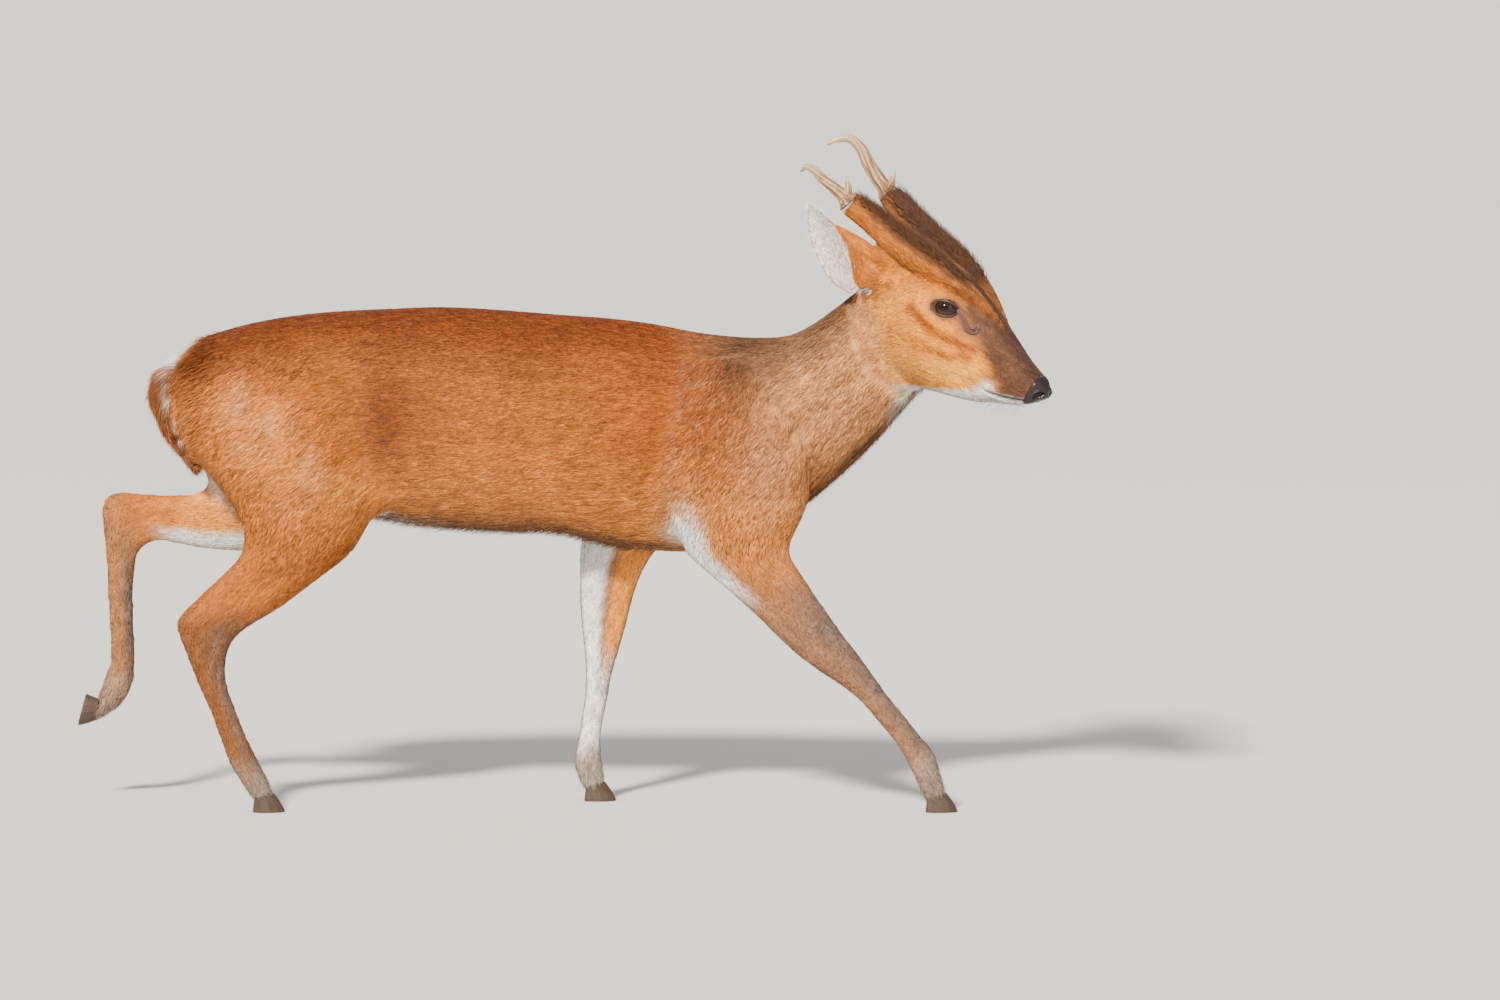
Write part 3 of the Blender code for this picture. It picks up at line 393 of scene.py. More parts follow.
def buildGuide():
    # coarse rings of every part, each sample with its part, place along and around, and lie of the coat
    grids = [profileGrid("trunk", 60, 32), profileGrid("head", 60, 32)]
    grids += [profileGrid(name, 50, 16) for name in regionNames[2:6]]
    grids += [profileGrid("tail", 20, 16), earGrid("earLeft", 22), earGrid("earRight", 22)]
    grids += [headTube(stalkPath, 20, 12, side) for side in (1, -1)]
    spots, labels, along, around, lie = [], [], [], [], []
    for k, grid in enumerate(grids):
        rings, size = grid.shape[:2]
        spots.append(grid.reshape(-1, 3))
        labels.append(np.full(rings * size, k))
        along.append(np.repeat(np.linspace(0, 1, rings), size))
        around.append(np.tile(np.arange(size) / size, rings))
        flow = np.gradient(grid, axis=0) * lieSense[k]
        lie.append((flow / (np.linalg.norm(flow, axis=2)[..., None] + 1e-9)).reshape(-1, 3))
    return [np.concatenate(v) for v in (spots, labels, along, around, lie)]


# how far the skin lies under the solids, in mm, by part
coatDepth = {"trunk": 1.9, "legs": .35, "head": .4, "ears": .35, "tail": 2.8}

# where two parts run into each other: middle and reach in mm, smoothing passes follow the weight
softJoins = [((-285, 70, 425), 95), ((-285, -70, 425), 95), ((170, -70, 400), 85), ((130, 70, 395), 85),
             ((-330, 40, 345), 50), ((-330, -40, 345), 50), ((322, -8, 545), 42), ((345, -15, 455), 40),
             ((318, -50, 505), 44), ((318, 34, 505), 44), ((330, -40, 470), 34),
             ((-398, 0, 482), 22), ((-195, 45, 330), 45), ((-195, -45, 330), 45)]


def joinWeight(co):
    # the strongest of the joins' soft balls: exp(-(distance / reach)^4)
    balls = [np.exp(-(np.linalg.norm(co / mm - middle, axis=1) / reach) ** 4) for middle, reach in softJoins]
    return np.max(balls, axis=0)


eyeShape = {
    "centre": (98.5, 29.5, 531.5),      # in the straight head, left side
    "radius": 13.5,
    "half": (12.9, 7.9),                # half length and height of the opening
    "look": (.22, .97, .06),            # way the eye faces
    "tilt": -10.0,                      # the inner corner lies lower
}


def eyeAxes(side):
    # ahead, up and out of the opening, and the ball's centre
    out = unit(np.array(eyeShape["look"]) * (1, side, 1))
    ahead = unit(np.array([1.0, 0, 0]) - out * out[0])
    up = np.cross(ahead, out) * -side
    up *= np.sign(up[2])
    cos, sin = math.cos(math.radians(eyeShape["tilt"])), math.sin(math.radians(eyeShape["tilt"]))
    return ahead * cos + up * sin, up * cos - ahead * sin, out, np.array(eyeShape["centre"]) * (1, side, 1)


def eyeOpening(h, side):
    # elliptical distance from the middle of the opening, 1 at its rim, as seen along the eye's look
    ahead, up, out, centre = eyeAxes(side)
    d = h - centre
    dist = np.linalg.norm(d, axis=1) + 1e-9
    u, v = d @ ahead / eyeShape["half"][0], d @ up / eyeShape["half"][1]
    return np.where(d @ out > 0, np.sqrt(u * u + v * v), 9.0), dist, d, centre, v


headMarks = {                   # in the straight head, left side
    "mouth": [(222, 431), (205, 432.5), (186, 435), (171, 437), (157, 439), (143, 443), (133, 447)],
    "gland": [(112, 34, 527), (117, 31, 519), (121, 29, 510), (127, 26, 505.5), (132, 24, 509)],
    "noseEdge": (182, 440, .62),    # x at a level, and how it leans
}


def overMouth(x, z):
    # height over the line of the mouth
    pts = np.array(headMarks["mouth"][::-1])
    return z - np.interp(x, pts[:, 0], pts[:, 1])


def noseEdge(x, z):
    # how far ahead of the edge between coat and nose leather
    at, level, lean = headMarks["noseEdge"]
    return x - (at + (z - level) * lean)


def nearPath(p, path):
    # least distance of points to a polyline and share of its length there
    path = np.asarray(path, float)
    best, share = np.full(len(p), 1e9), np.zeros(len(p))
    lengths = np.linalg.norm(np.diff(path, axis=0), axis=1)
    total, run = lengths.sum(), 0.0
    for a, b, size in zip(path[:-1], path[1:], lengths):
        t = np.clip(((p - a) @ (b - a)) / size**2, 0, 1)
        d = np.linalg.norm(p - a - t[:, None] * (b - a), axis=1)
        share = np.where(d < best, (run + t * size) / total, share)
        best = np.minimum(best, d)
        run += size
    return best, share


def finishSkin(mesh, guide):
    # smooth the joins, draw the skin inside the solids, add the forms, fit the lids to the eyes
    co = fetch(mesh.vertices, "co", 3)
    edges = fetch(mesh.edges, "vertices", 2, int)
    spots, labels, along = guide[:3]
    near = nearestSpot(co, spots)
    label = labels[near]
    thin = blur(((label >= 7) & (label <= 8)).astype(float), edges, 4)
    co = blur(co, edges, 3, .5 * (1 - .6 * thin))
    co = blur(co, edges, 70, .5 * joinWeight(co))
    border = blur((label == 1).astype(float), edges, 30)
    border = ramp(border * (1 - border) * 4, .1, .8) * (unturnHead(co)[:, 0] / mm < 55)
    co = blur(co, edges, 90, .5 * blur(border, edges, 6))
    say("skin smoothed")
    mesh.vertices.foreach_set("co", co.ravel())
    mesh.update()
    normal = fetch(mesh.vertices, "normal", 3)
    shares = np.stack([blur((label == k).astype(float), edges, 5) for k in range(11)], axis=1)
    legs = shares[:, 2:6].sum(1)
    crown = shares[:, 1] + shares[:, 9:11].sum(1)
    ear = shares[:, 7:9].sum(1)
    groups = {"trunk": shares[:, 0], "legs": legs, "head": crown, "ears": ear, "tail": shares[:, 6]}
    depth = sum(group * coatDepth[name] for name, group in groups.items())
    depth += legs * (1 - ramp(along[near], .15, .4)) * (coatDepth["trunk"] - coatDepth["legs"])
    push = -blur(depth, edges, 6)
    push += (-blur(depth, edges, 80) - push) * blur(border, edges, 8)      # no step between neck and head
    push += bodyForms(*(co.T / mm), normal)
    push += headForms(unturnHead(co) / mm, crown)
    co = co + normal * (push * mm)[:, None]
    # lids: skin drawn over the ball round the opening, and sunk behind it inside
    h = unturnHead(co) / mm
    ball = eyeShape["radius"]
    for side in (1, -1):
        e, dist, d, centre, v = eyeOpening(h, side)
        lid = ball + 1.5 - .5 * ramp(e, 1.2, 1.6)
        reach = ramp(e, 1.0, 1.12)
        far = ramp(e, 1.3, 2.1)
        rim = np.maximum(dist, lid) * (1 - far) + dist * far
        fold = -1.0 * bump(e, 1.62, .14) * (v > -.2)
        target = np.where(e < 2.2, (ball - 3) * (1 - reach) + (rim + fold) * reach, dist)
        h = centre + d * (target / dist)[:, None]
    close = (np.linalg.norm(h - np.array((96.5, 0, 534.5)), axis=1) < 90)[:, None]
    co = np.where(close, turnHead(h * mm), co)
    mesh.vertices.foreach_set("co", (co + deerShift).ravel())
    mesh.update()
    return co, shares, near, fetch(mesh.vertices, "normal", 3), label, edges


def bodyForms(x, y, z, n):
    # muscles and hollows of trunk and limbs, in mm along the normal; each is a soft band or an oval
    right = y < 0
    form = np.zeros(len(x))
    # flank hollow before the haunch, from the hip down to the fold, and the haunch's edge behind it
    hip = np.where(right, -212, -222) - (z - 420) * .12
    form -= 4.0 * bump(x, hip, 26) * ramp(z, 330, 370) * (1 - ramp(z, 470, 515))
    form += 2.0 * bump(x, hip - 48, 30) * ramp(z, 350, 400) * (1 - ramp(z, 480, 515))
    # two long furrows down the haunch, and the point of the hip
    furrow = -300 - (z - 430) * .42
    form -= 1.4 * bump(x, furrow, 20) * ramp(z, 370, 410) * (1 - ramp(z, 450, 480))
    form -= 1.0 * bump(x, furrow - 52, 18) * ramp(z, 350, 390) * (1 - ramp(z, 430, 465))
    form += 3.0 * spot(x, z, -228, 500, 22, 14)
    # blade, its spine and the furrow behind the upper arm
    blade = np.where(right, 170, 130) + (z - 440) * .25
    form += 3.2 * bump(x, blade, 30) * bump(z, 440, 52)
    form -= 3.0 * bump(x, blade - 46, 13) * bump(z, 400, 48)
    form -= 2.2 * bump(x, blade + 42, 12) * bump(z, 425, 40)
    # soft ribs
    form += .7 * np.sin(x / 9.5) * spot(x, z, -40, 420, 80, 50)
    # groove along the neck
    groove = 355 + (x - 200) * .92
    neck = ramp(x, 205, 240) * (1 - ramp(x, 315, 335))
    form += (1.6 * bump(z, groove + 34, 18) - 2.4 * bump(z, groove, 11)) * neck
    # the hollow before each heel cord
    for start, end, foot in (((-300, 248), (-352, 222), -1), ((-392, 300), (-440, 302), 1)):
        for at in np.linspace(0, 1, 4):
            px, pz = np.array(start) + (np.array(end) - start) * at
            form -= (np.sign(y) == foot) * 1.6 * spot(x, z, px, pz, 12, 12)
    return form * np.abs(n[:, 1])


def headForms(h, crown):
    # forms of the straight head, in mm along the normal
    hx, hy, hz = h.T
    across = np.abs(hy)
    # cheek muscle, hollow before it, bone below the eye, hollow beside the nose bone
    form = 1.8 * spot(hx, hz, 52, 487, 24, 26) * ramp(across, 20, 34)
    form -= 1.6 * spot(hx, hz, 88, 470, 13, 30) * ramp(across, 16, 28)
    form += 1.4 * spot(hx, hz + (hx - 100) * .5, 100, 511, 26, 7) * ramp(across, 18, 28)
    form -= 1.6 * spot(hx, hz, 140, 497, 20, 10) * ramp(across, 8, 15)
    # slit gland before the eye: a curved fold with a raised edge
    for side in (1, -1):
        d = nearPath(h, mirrored(headMarks["gland"], side))[0]
        form += 1.0 * bump(d, 4.6, 2.0) - 1.7 * bump(d, 0, 2.2)
    # mouth crease and lips
    over = overMouth(hx, hz)
    lips = .9 * (bump(over, 3.6, 2.4) + bump(over, -3.4, 2.2)) - 1.5 * bump(over, 0, 1.6)
    form += ramp(hx, 130, 138) * ramp(across, 3, 8) * lips
    return form * np.clip(crown * 1.4, 0, 1) * ramp(hx, 18, 46)


guide = buildGuide()
skinMesh = buildSkin()
skinPoints, partShare, nearSample, skinNormal, partLabel, skinEdges = finishSkin(skinMesh, guide)
skinMesh.shade_smooth()
skin = bpy.data.objects.new("skin", skinMesh)
bpy.context.scene.collection.objects.link(skin)
say("skin shaped")

pelt = {                                # linear colours of the coat
    # the lower flank's paler brown is painted lighter still, as painted light
    "back": (.155, .032, .003), "flank": (.410, .108, .010), "litLowFlank": (.560, .190, .032),
    # the haunch colour is a painted sheen on the hair
    "belly": (.300, .140, .060), "haunch": (.800, .340, .125), "thigh": (.680, .215, .030),
    # the hollow colour is painted shade for the dip before the haunch
    "hollow": (.150, .034, .004), "shoulder": (.290, .068, .007), "shoulderFront": (.520, .215, .088),
    "neck": (.600, .250, .090), "neckTop": (.130, .058, .028), "withers": (.085, .036, .018),
    "throat": (.610, .270, .100), "white": (.930, .870, .790), "cheek": (.920, .295, .013),
    "cheekPale": (.950, .385, .046), "stripe": (.300, .075, .007), "forehead": (.520, .135, .007),
    "muzzle": (.052, .028, .022), "muzzleTop": (.052, .024, .015), "crest": (.055, .025, .014),
    # the dark hair colour for the belly's and throat's lower edges is painted shadow
    "crestHair": (.080, .036, .018), "shadowHair": (.110, .048, .022), "eyeRing": (.200, .088, .060),
    "earOut": (.500, .140, .012), "stalk": (.360, .105, .011), "earIn": (.950, .800, .720),
    # the far hind shank colour is a paler inner side painted lighter still, as painted sunlight
    "legFront": (.135, .086, .064), "shank": (.390, .105, .012), "sunlitFarShank": (.920, .300, .036),
    "forearm": (.430, .150, .040), "cannonHind": (.215, .072, .018), "cannonFore": (.270, .128, .066),
    # the far hind cannon colour is a lighter copy of the cannon, painted sunlight
    "sunlitFarCannon": (.340, .135, .045), "pastern": (.300, .215, .160), "tail": (.420, .135, .036),
    "nose": (.018, .010, .011), "mouth": (.022, .013, .011), "pink": (.420, .170, .130),
}


def wander(p, size, seed):
    # slow smooth noise between about -1 and 1: a few sines with seeded turns
    turns = np.random.default_rng(seed)
    total = np.zeros(len(p))
    for _ in range(7):
        way = turns.normal(size=3)
        way /= np.linalg.norm(way)
        total += np.sin(p @ way * (2 * math.pi / (size * turns.uniform(.6, 1.7))) + turns.uniform(0, 6.3))
    return total / 3.2


def layer(colours, name, weight):
    return colours + (np.array(pelt[name]) - colours) * np.clip(weight, 0, 1)[:, None]


def tailSeam(x, y, z):
    # narrow band down both sides of the tail where it meets the buttocks
    seam = np.interp(z, [356, 370, 391, 412, 436, 463], [-390, -395, -403, -411, -413, -410])
    return bump(x, seam - .3, 1.2) * ramp(z, 358, 372) * (1 - ramp(z, 458, 474)) * ramp(np.abs(y), 5, 10)


def tailRoot(x, y, z):
    # oval spot over the root of the tail
    return spot(x, z, -405, 473, 3.4, 5) * bump(y, 0, 13)


def aboutStalk(h, side):
    # distance to a stalk's middle line, share of its length, how far ahead of it, how far inside it
    stalk = mirrored(stalkPath, side)[:, :3]
    d, t = nearPath(h, stalk)
    ahead = h[:, 0] - np.interp(h[:, 2], stalk[:, 2], stalk[:, 0])
    return d, t, ahead, np.interp(h[:, 2], stalk[:, 2], stalk[:, 1] * side) - side * h[:, 1]


# painted sheen on the haunch, as pale ovals: x, z, half sizes, strength
haunchSheenSpots = [(-334, 436, 12, 22, .45), (-300, 408, 20, 13, .45), (-262, 356, 13, 26, .5),
               (-292, 322, 14, 15, .4), (-318, 385, 24, 9, .3)]


def markPelt(co, normal, shares, near, label, edges, guide):
    # the markings and the painted light and shade, laid one over the other: a colour's name and how much of
    # it lies there
    x, y, z = co.T / mm
    along = blur(guide[2][near], edges, 4)
    rise = blur(np.sin(guide[3][near] * 2 * math.pi), edges, 4)
    n = blur(normal, edges, 6)
    noise = wander(co, .035, 3) * .5 + wander(co, .012, 4) * .35
    big = wander(co, .16, 5)
    c = np.tile(np.array(pelt["flank"]), (len(x), 1))
    # height round the trunk, from -1 below to 1 on the back; over the limbs it is worked out from the level
    trunk = shares[:, 0]
    limb = np.clip(shares[:, 2:6].sum(1), 0, 1)
    up = (1 - limb) * rise + limb * np.clip((z - 415) / 110, -1, 1)
    # trunk: darker back, warm flank, grey-brown neck, pale groin; painted light on the lower flank and
    # haunch, painted shade in the flank hollow and under the neck
    # lower flank: paler coat, painted lighter still to stand in for the light on it
    c = layer(c, "litLowFlank", ramp(-up, -.1, .7))
    c = layer(c, "back", ramp(up + big * .10 + noise * .05, .22, .96) * .95)
    c = layer(c, "thigh", ramp(-x, 215, 300) * ramp(-z, -470, -430) * (.62 + .3 * noise))
    # painted sheen: pale patches over the haunch
    for px, pz, wide, tall, much in haunchSheenSpots:
        c = layer(c, "haunch", spot(x, z, px, pz, wide, tall) * (much + .45 * noise))
    # painted shade in the flank hollow before the haunch
    c = layer(c, "hollow", spot(x + 14 * big, z, -186, 412, 38, 62) * .8)
    c = layer(c, "shoulder", spot(x, z, 150, 430, 70, 80) * .8)
    c = layer(c, "shoulderFront", spot(x, z, 222, 375, 42, 70) * .8)
    c = layer(c, "belly", ramp(-n[:, 2], .62, .95) * trunk * (1 - ramp(z, 330, 400)) * .85)
    body = np.clip(trunk + shares[:, 2:6].sum(1), 0, 1)
    toNeck = ramp(x + (z - 400) * .55 + 9 * wander(co, .03, 6), 160, 300) * body
    c = layer(c, "neck", toNeck)
    c = layer(c, "neckTop", toNeck * ramp(up, .3, .95) * .85)
    c = layer(c, "withers", spot(x, z, 190, 480, 42, 48) * body * .85)
    c = layer(c, "throat", toNeck * ramp(-up, .25, .85) * ramp(x, 240, 300) * .8)
    # painted shade: the underside of the neck darkened with the muzzle's grey-brown
    c = layer(c, "muzzle", toNeck * ramp(-rise, .72, .93) * (.6 + .3 * noise) * (1 - ramp(x, 340, 365)))
    c = layer(c, "white", trunk * ramp(x, 335, 362) * ramp(-rise, .5, .9) * .6)
    c = layer(c, "white", trunk * ramp(-n[:, 2], .80, .97) * bump(x, -200, 55) * .9)
    c = layer(c, "white", spot(x, z, 122, 296, 20, 26) * ramp(-n[:, 0], -.1, .5) * np.where(y < 0, .8, .4))
    c = markLegs(c, z, n, shares, along, rise, noise)
    # tail: red-brown outside, white towards the body and at the rim
    own = shares[:, 6]
    c = layer(c, "tail", own * 1.2)
    c = layer(c, "white", own * ramp(n[:, 0], .45, .8) * ramp(own, .6, .9))
    c = layer(c, "white", tailSeam(x, y, z) * .95)
    c = layer(c, "white", tailRoot(x, y, z) * 1.4)
    # head, wider over the neck so that the colours blend there
    h = unturnHead(co) / mm
    crown = np.clip((shares[:, 1] + shares[:, 9] + shares[:, 10]) * 1.15, 0, 1)
    wide = np.clip(blur(crown, edges, 40) * 1.05, 0, 1)
    crown = np.where((h[:, 0] < 60) & (h[:, 2] < 536), wide, crown)
    c += (markHead(h, shares, co, noise) - c) * crown[:, None]
    # ears: orange-brown backs with dark rims, pinkish white inside
    for k in (7, 8):
        own = np.clip(shares[:, k] * 1.3, 0, 1)
        inside = blur(((label == k) & (guide[3][near] >= .5)).astype(float), edges, 1)
        c = layer(c, "earOut", own)
        c = layer(c, "tail", own * ramp(along, .75, 1) * (1 - inside) * .6)
        c = layer(c, "earIn", own * ramp(inside, .2, .7))
        c = layer(c, "pink", own * ramp(inside, .4, .8) * (1 - ramp(along, .15, .6)) * .35)
    c *= (1 + .10 * noise + .05 * big)[:, None]
    return np.clip(c, .004, .9), along, rise


def markLegs(c, z, n, shares, a, rise, noise):
    # brown outside, white inside, greyer cannons with dark fronts, the far legs partly in lighter copies as
    # painted sunlight; a is the place down the leg
    # the far hind leg (3) takes the lighter copies that carry painted sunlight
    uppers = {2: "shank", 3: "sunlitFarShank", 4: "forearm", 5: "forearm"}
    cannons = {2: "cannonHind", 3: "sunlitFarCannon", 4: "cannonFore", 5: "cannonFore"}
    for k, side in ((2, -1), (3, 1), (4, -1), (5, 1)):
        hind = k < 4
        own = np.clip(shares[:, k] * 1.15, 0, 1)
        inner = ramp(-n[:, 1] * side, .15, .6)
        lower = ramp(a, .52, .64) if hind else ramp(a, .44, .58)
        c = layer(c, uppers[k], own * (ramp(a, .18, .4) * .9 if hind else ramp(a, .34, .5) * .85))
        if k == 3:
            c = layer(c, "shank", own * ramp(a, .36, .52) * (.7 + .4 * noise))
        c = layer(c, cannons[k], own * lower)
        c = layer(c, "legFront", own * lower * ramp(rise, -.2, .5) * (.75 + .5 * noise))
        c = layer(c, "pastern", own * ramp(a, .88, .97) * (.75 + .3 * noise))
        if hind:
            under = ramp(-rise, .25, .7) if k == 2 else ramp(rise, .15, .6)
            white = inner * (1 - ramp(a, .2, .36))
            white += .95 * inner * under * ramp(a, .08, .2) * (1 - ramp(a, .46, .56))
        else:
            rear = np.maximum(ramp(-rise, -.1, .5), .35)
            if k == 5:
                rear = np.maximum(ramp(-rise, -.05, .3), ramp(a, .66, .82) * .8)
            white = inner * rear * ramp(a, .1, .25)
            white = np.maximum(white, ramp(-rise, .35, .85) * ramp(z, 205, 245) * (1 - ramp(z, 285, 312)))
        if k == 5:
            white = np.maximum(white, inner * ramp(-rise, .2, .6) * ramp(a, .2, .4) * .8)
            # the far fore leg's orange band, in the far shank's colour that carries painted sunlight
            warm = ramp(rise, -.1, .4) * ramp(a, .2, .4) * (1 - ramp(a, .68, .82))
            c = layer(c, "sunlitFarShank", own * inner * warm * .95)
        c = layer(c, "white", own * white * (1 - .8 * ramp(a, .88, .95)))
    return c


# dark lines of the face, side view of the straight head: points, width and how dark
faceStripes = [([(66, 532), (84, 513), (102, 499), (126, 488)], 6.0, .95),
               ([(80, 490), (104, 480), (124, 480)], 5.0, .75),
               ([(40, 510), (62, 500), (84, 488)], 5.0, .35), ([(60, 560), (40, 548), (22, 540)], 7.0, .4)]
noseBridge = ([60, 97, 116, 133, 151, 168, 182, 193, 203], [590, 574, 560, 541, 519, 496, 477, 465, 452])


def markHead(h, shares, co, noise):
    hx, hy, hz = h.T
    across = np.abs(hy)
    c = np.tile(np.array(pelt["cheek"]), (len(hx), 1))
    c = layer(c, "neck", (1 - ramp(hx + (hz - 500) * .35 + 4 * wander(co, .02, 9), 14, 54)) * .96)
    c = layer(c, "cheekPale", spot(hx, hz + (hx - 100) * .15, 100, 466, 34, 15) * .95)
    c = layer(c, "cheekPale", spot(hx, hz, 38, 462, 22, 22) * .6)
    c = layer(c, "cheekPale", spot(hx, hz, 40, 540, 20, 16) * .45)
    flat = np.stack([hx, hz], axis=1)
    for line, wide, much in faceStripes:
        d = nearPath(flat, line)[0]
        c = layer(c, "stripe", bump(d, 0, wide) * (much + .25 * noise) * ramp(across, 15, 24))
    c = layer(c, "forehead", ramp(hz - (548 - (hx - 60) * .32), -4, 20) * .8)
    # grey-brown muzzle up to the eye and over the nose bone
    edge = hx - (151 - (hz - 440) * .40) + 3 * wander(co, .02, 8)
    c = layer(c, "muzzle", ramp(edge, -9, 14) * .93)
    ridge = hz - np.interp(hx, *noseBridge)
    c = layer(c, "muzzleTop", ramp(ridge, -26, -3) * ramp(hx, 96, 122) * .85)
    # dark crests running up both stalks and meeting over the nose
    for side in (1, -1):
        d, t, ahead, inward = aboutStalk(h, side)
        own = shares[:, 9 if side > 0 else 10]
        c = layer(c, "stalk", np.clip(own * 1.2, 0, 1) * (.75 + .3 * noise))
        dark = bump(np.maximum(d - 9, 0), 0, 6) * ramp(inward, -1.5, 5) * ramp(t, .05, .2)
        dark = dark * (.55 + .5 * noise)
        front = ramp(ahead + 2.5 * noise, 5, 12) * ramp(t, .12, .3) * (1 - ramp(d, 16, 22)) * .85
        c = layer(c, "crest", np.maximum(dark, front) * (.92 + .1 * noise))
    d = across - np.interp(hx, [60, 152], [20, 5])
    brow = ramp(ridge, -14, -5) * (1 - ramp(hx, 128, 150)) * ramp(hx, 40, 70)
    c = layer(c, "stripe", bump(d, 0, 3.5) * brow * .6)
    # rim of the eye, gland, mouth corner, lips, chin and throat, with painted shade in the gland's slit and
    # the mouth's crease
    for side in (1, -1):
        e = eyeOpening(h, side)[0]
        c = layer(c, "eyeRing", bump(np.maximum(e - 1.15, 0), 0, .5) * .75)
        c = layer(c, "muzzleTop", (1 - ramp(e, 1.18, 1.34)) * .9)
        d = nearPath(h, mirrored(headMarks["gland"], side))[0]
        c = layer(c, "eyeRing", bump(d, 0, 9) * .85)
        # near-black line along the gland's slit: partly its dark skin, partly painted shade in the fold
        c = layer(c, "mouth", bump(d, 0, 1.9) * .8)
    over = overMouth(hx, hz)
    front = ramp(hx, 120, 132)
    c = layer(c, "white", ramp(-over, -5, 1) * front)
    c = layer(c, "white", spot(hx, hz, 141, 449, 7, 6) * .95)
    chin = 1 - ramp(hz - np.interp(hx, [20, 60, 105, 130], [452, 447, 446, 446]), -4, 3)
    c = layer(c, "white", chin * ramp(hx, 22, 50) * (1 - front))
    # near-black line along the mouth: partly the dark lip skin, partly painted shade in the crease
    c = layer(c, "mouth", bump(over, .2, 1.7) * ramp(hx, 134, 142) * ramp(across, 3, 7) * .95)
    return layer(c, "nose", ramp(noseEdge(hx, hz), -1.5, 1.5) * ramp(hz, 431, 434))


peltColour, alongPart, risePart = markPelt(skinPoints, skinNormal, partShare, nearSample, partLabel,
                                           skinEdges, guide)
lieFlow = blur(guide[4][nearSample], skinEdges, 18)
# on flanks and haunches the coat runs back and a little down, on upper legs and behind the jaw more so
fallLine = np.array([0, 0, -1.0])
lieFlow += fallLine * (partShare[:, 0] * .22 * (1 - ramp(np.abs(skinNormal[:, 2]), .5, .9)))[:, None]
lieFlow += fallLine * (bump(skinPoints[:, 0], -.31, .07) * .35 * partShare[:, 0])[:, None]
upperLeg = partShare[:, 2:6].sum(1) * (1 - ramp(alongPart, .16, .42))
lieFlow += np.where(skinPoints[:, :1] > 0, [[-1.0, 0, -.75]], [[-1.0, 0, -.32]]) * (upperLeg * 2.6)[:, None]
border = blur(partShare[:, 1], skinEdges, 40)
border = np.clip(border * (1 - border) * 4, 0, 1) * (unturnHead(skinPoints)[:, 0] / mm < 60)
lieFlow += np.array([[-.80, 0, -.60]]) * (blur(border, skinEdges, 8) * 4)[:, None]
lieFlow = unit(lieFlow - skinNormal * (lieFlow * skinNormal).sum(1)[:, None])
say("pelt marked")


def setColours(mesh, name, values):
    rows = np.column_stack([values, np.ones(len(values))]).astype(np.float32)
    mesh.attributes.new(name, "FLOAT_COLOR", "POINT").data.foreach_set("color", rows.ravel())


streakShape = {"thick": 2.1, "long": 10.0, "depth": .62}      # locks of one tone, mm, and their contrast


def latticeNoise(q):
    # value noise: a seeded number at each whole point, mixed between the eight corners by smooth steps
    low = np.floor(q)
    f = q - low
    f = f * f * (3 - 2 * f)
    total = 0
    for corner in range(8):
        step = np.array([corner & 1, corner >> 1 & 1, corner >> 2 & 1])
        spin = np.sin((low + step) @ np.array([127.1, 311.7, 74.7])) * 43758.5453
        total = total + (spin - np.floor(spin)) * np.prod(np.where(step, f, 1 - f), axis=1)
    return total


def streakTone(p, lie, grain):
    # noise stretched along five fixed ways, each counted by the eighth power of its cosine with the lie
    total, weight = 0, 0
    for way in ((1, 0, 0), (.8, 0, .6), (.8, 0, -.6), (0, 0, 1), (0, 1, 0)):
        way = np.array(way, float)
        squeezed = p - np.outer(p @ way, way) * (1 - streakShape["thick"] / streakShape["long"])
        q = squeezed / (streakShape["thick"] * grain * mm)
        share = np.abs(lie @ way) ** 8 + 1e-4
        total = total + latticeNoise(q) * share
        weight = weight + share
    return (total / weight - .5) * 2


# strips of the unwrap: part (11 and 12 are the ears' insides), corner, width along and height around
stripPlaces = {0: (.00, .00, .62, .40), 1: (.00, .41, .40, .30), 6: (.41, .41, .20, .12),
               7: (.41, .54, .20, .17), 8: (.63, .54, .20, .17), 9: (.41, .72, .18, .08),
               10: (.63, .72, .18, .08),
               11: (.00, .72, .20, .17), 12: (.21, .72, .20, .17)}
for k in range(2, 6):
    stripPlaces[k] = (.63, .13 * (k - 2), .36, .12)
axisLines = {}
for k in range(7):
    rows = profiles[regionNames[k]]
    axisLines[k] = np.array([((row[0] + row[2]) / 2, row[5], (row[1] + row[3]) / 2) for row in rows], float)
for k, name, side in ((7, "earLeft", 1), (8, "earRight", -1)):
    axisLines[k] = np.array(ears[name][:2], float)
    axisLines[k + 2] = mirrored(stalkPath, side)[:, :3]


def stripSpot(co, k):
    # share along the part's middle line and angle round it
    p = (co if k in (0, 2, 3, 4, 5, 6) else unturnHead(co)) / mm
    line = axisLines[k]
    share = nearPath(p, line)[1]
    steps = np.concatenate([[0], np.cumsum(np.linalg.norm(np.diff(line, axis=0), axis=1))])
    off = p - np.stack([np.interp(share * steps[-1], steps, line[:, j]) for j in range(3)], axis=1)
    lean = unit(line[-1] - line[0])
    first = np.array([0.0, 1, 0])
    if k in (7, 8):
        mouth = np.array(ears[regionNames[k]][2])
        first = lean * mouth.dot(lean) - mouth
    return share, np.arctan2(off @ np.cross(lean, first), off @ first) / (2 * math.pi)


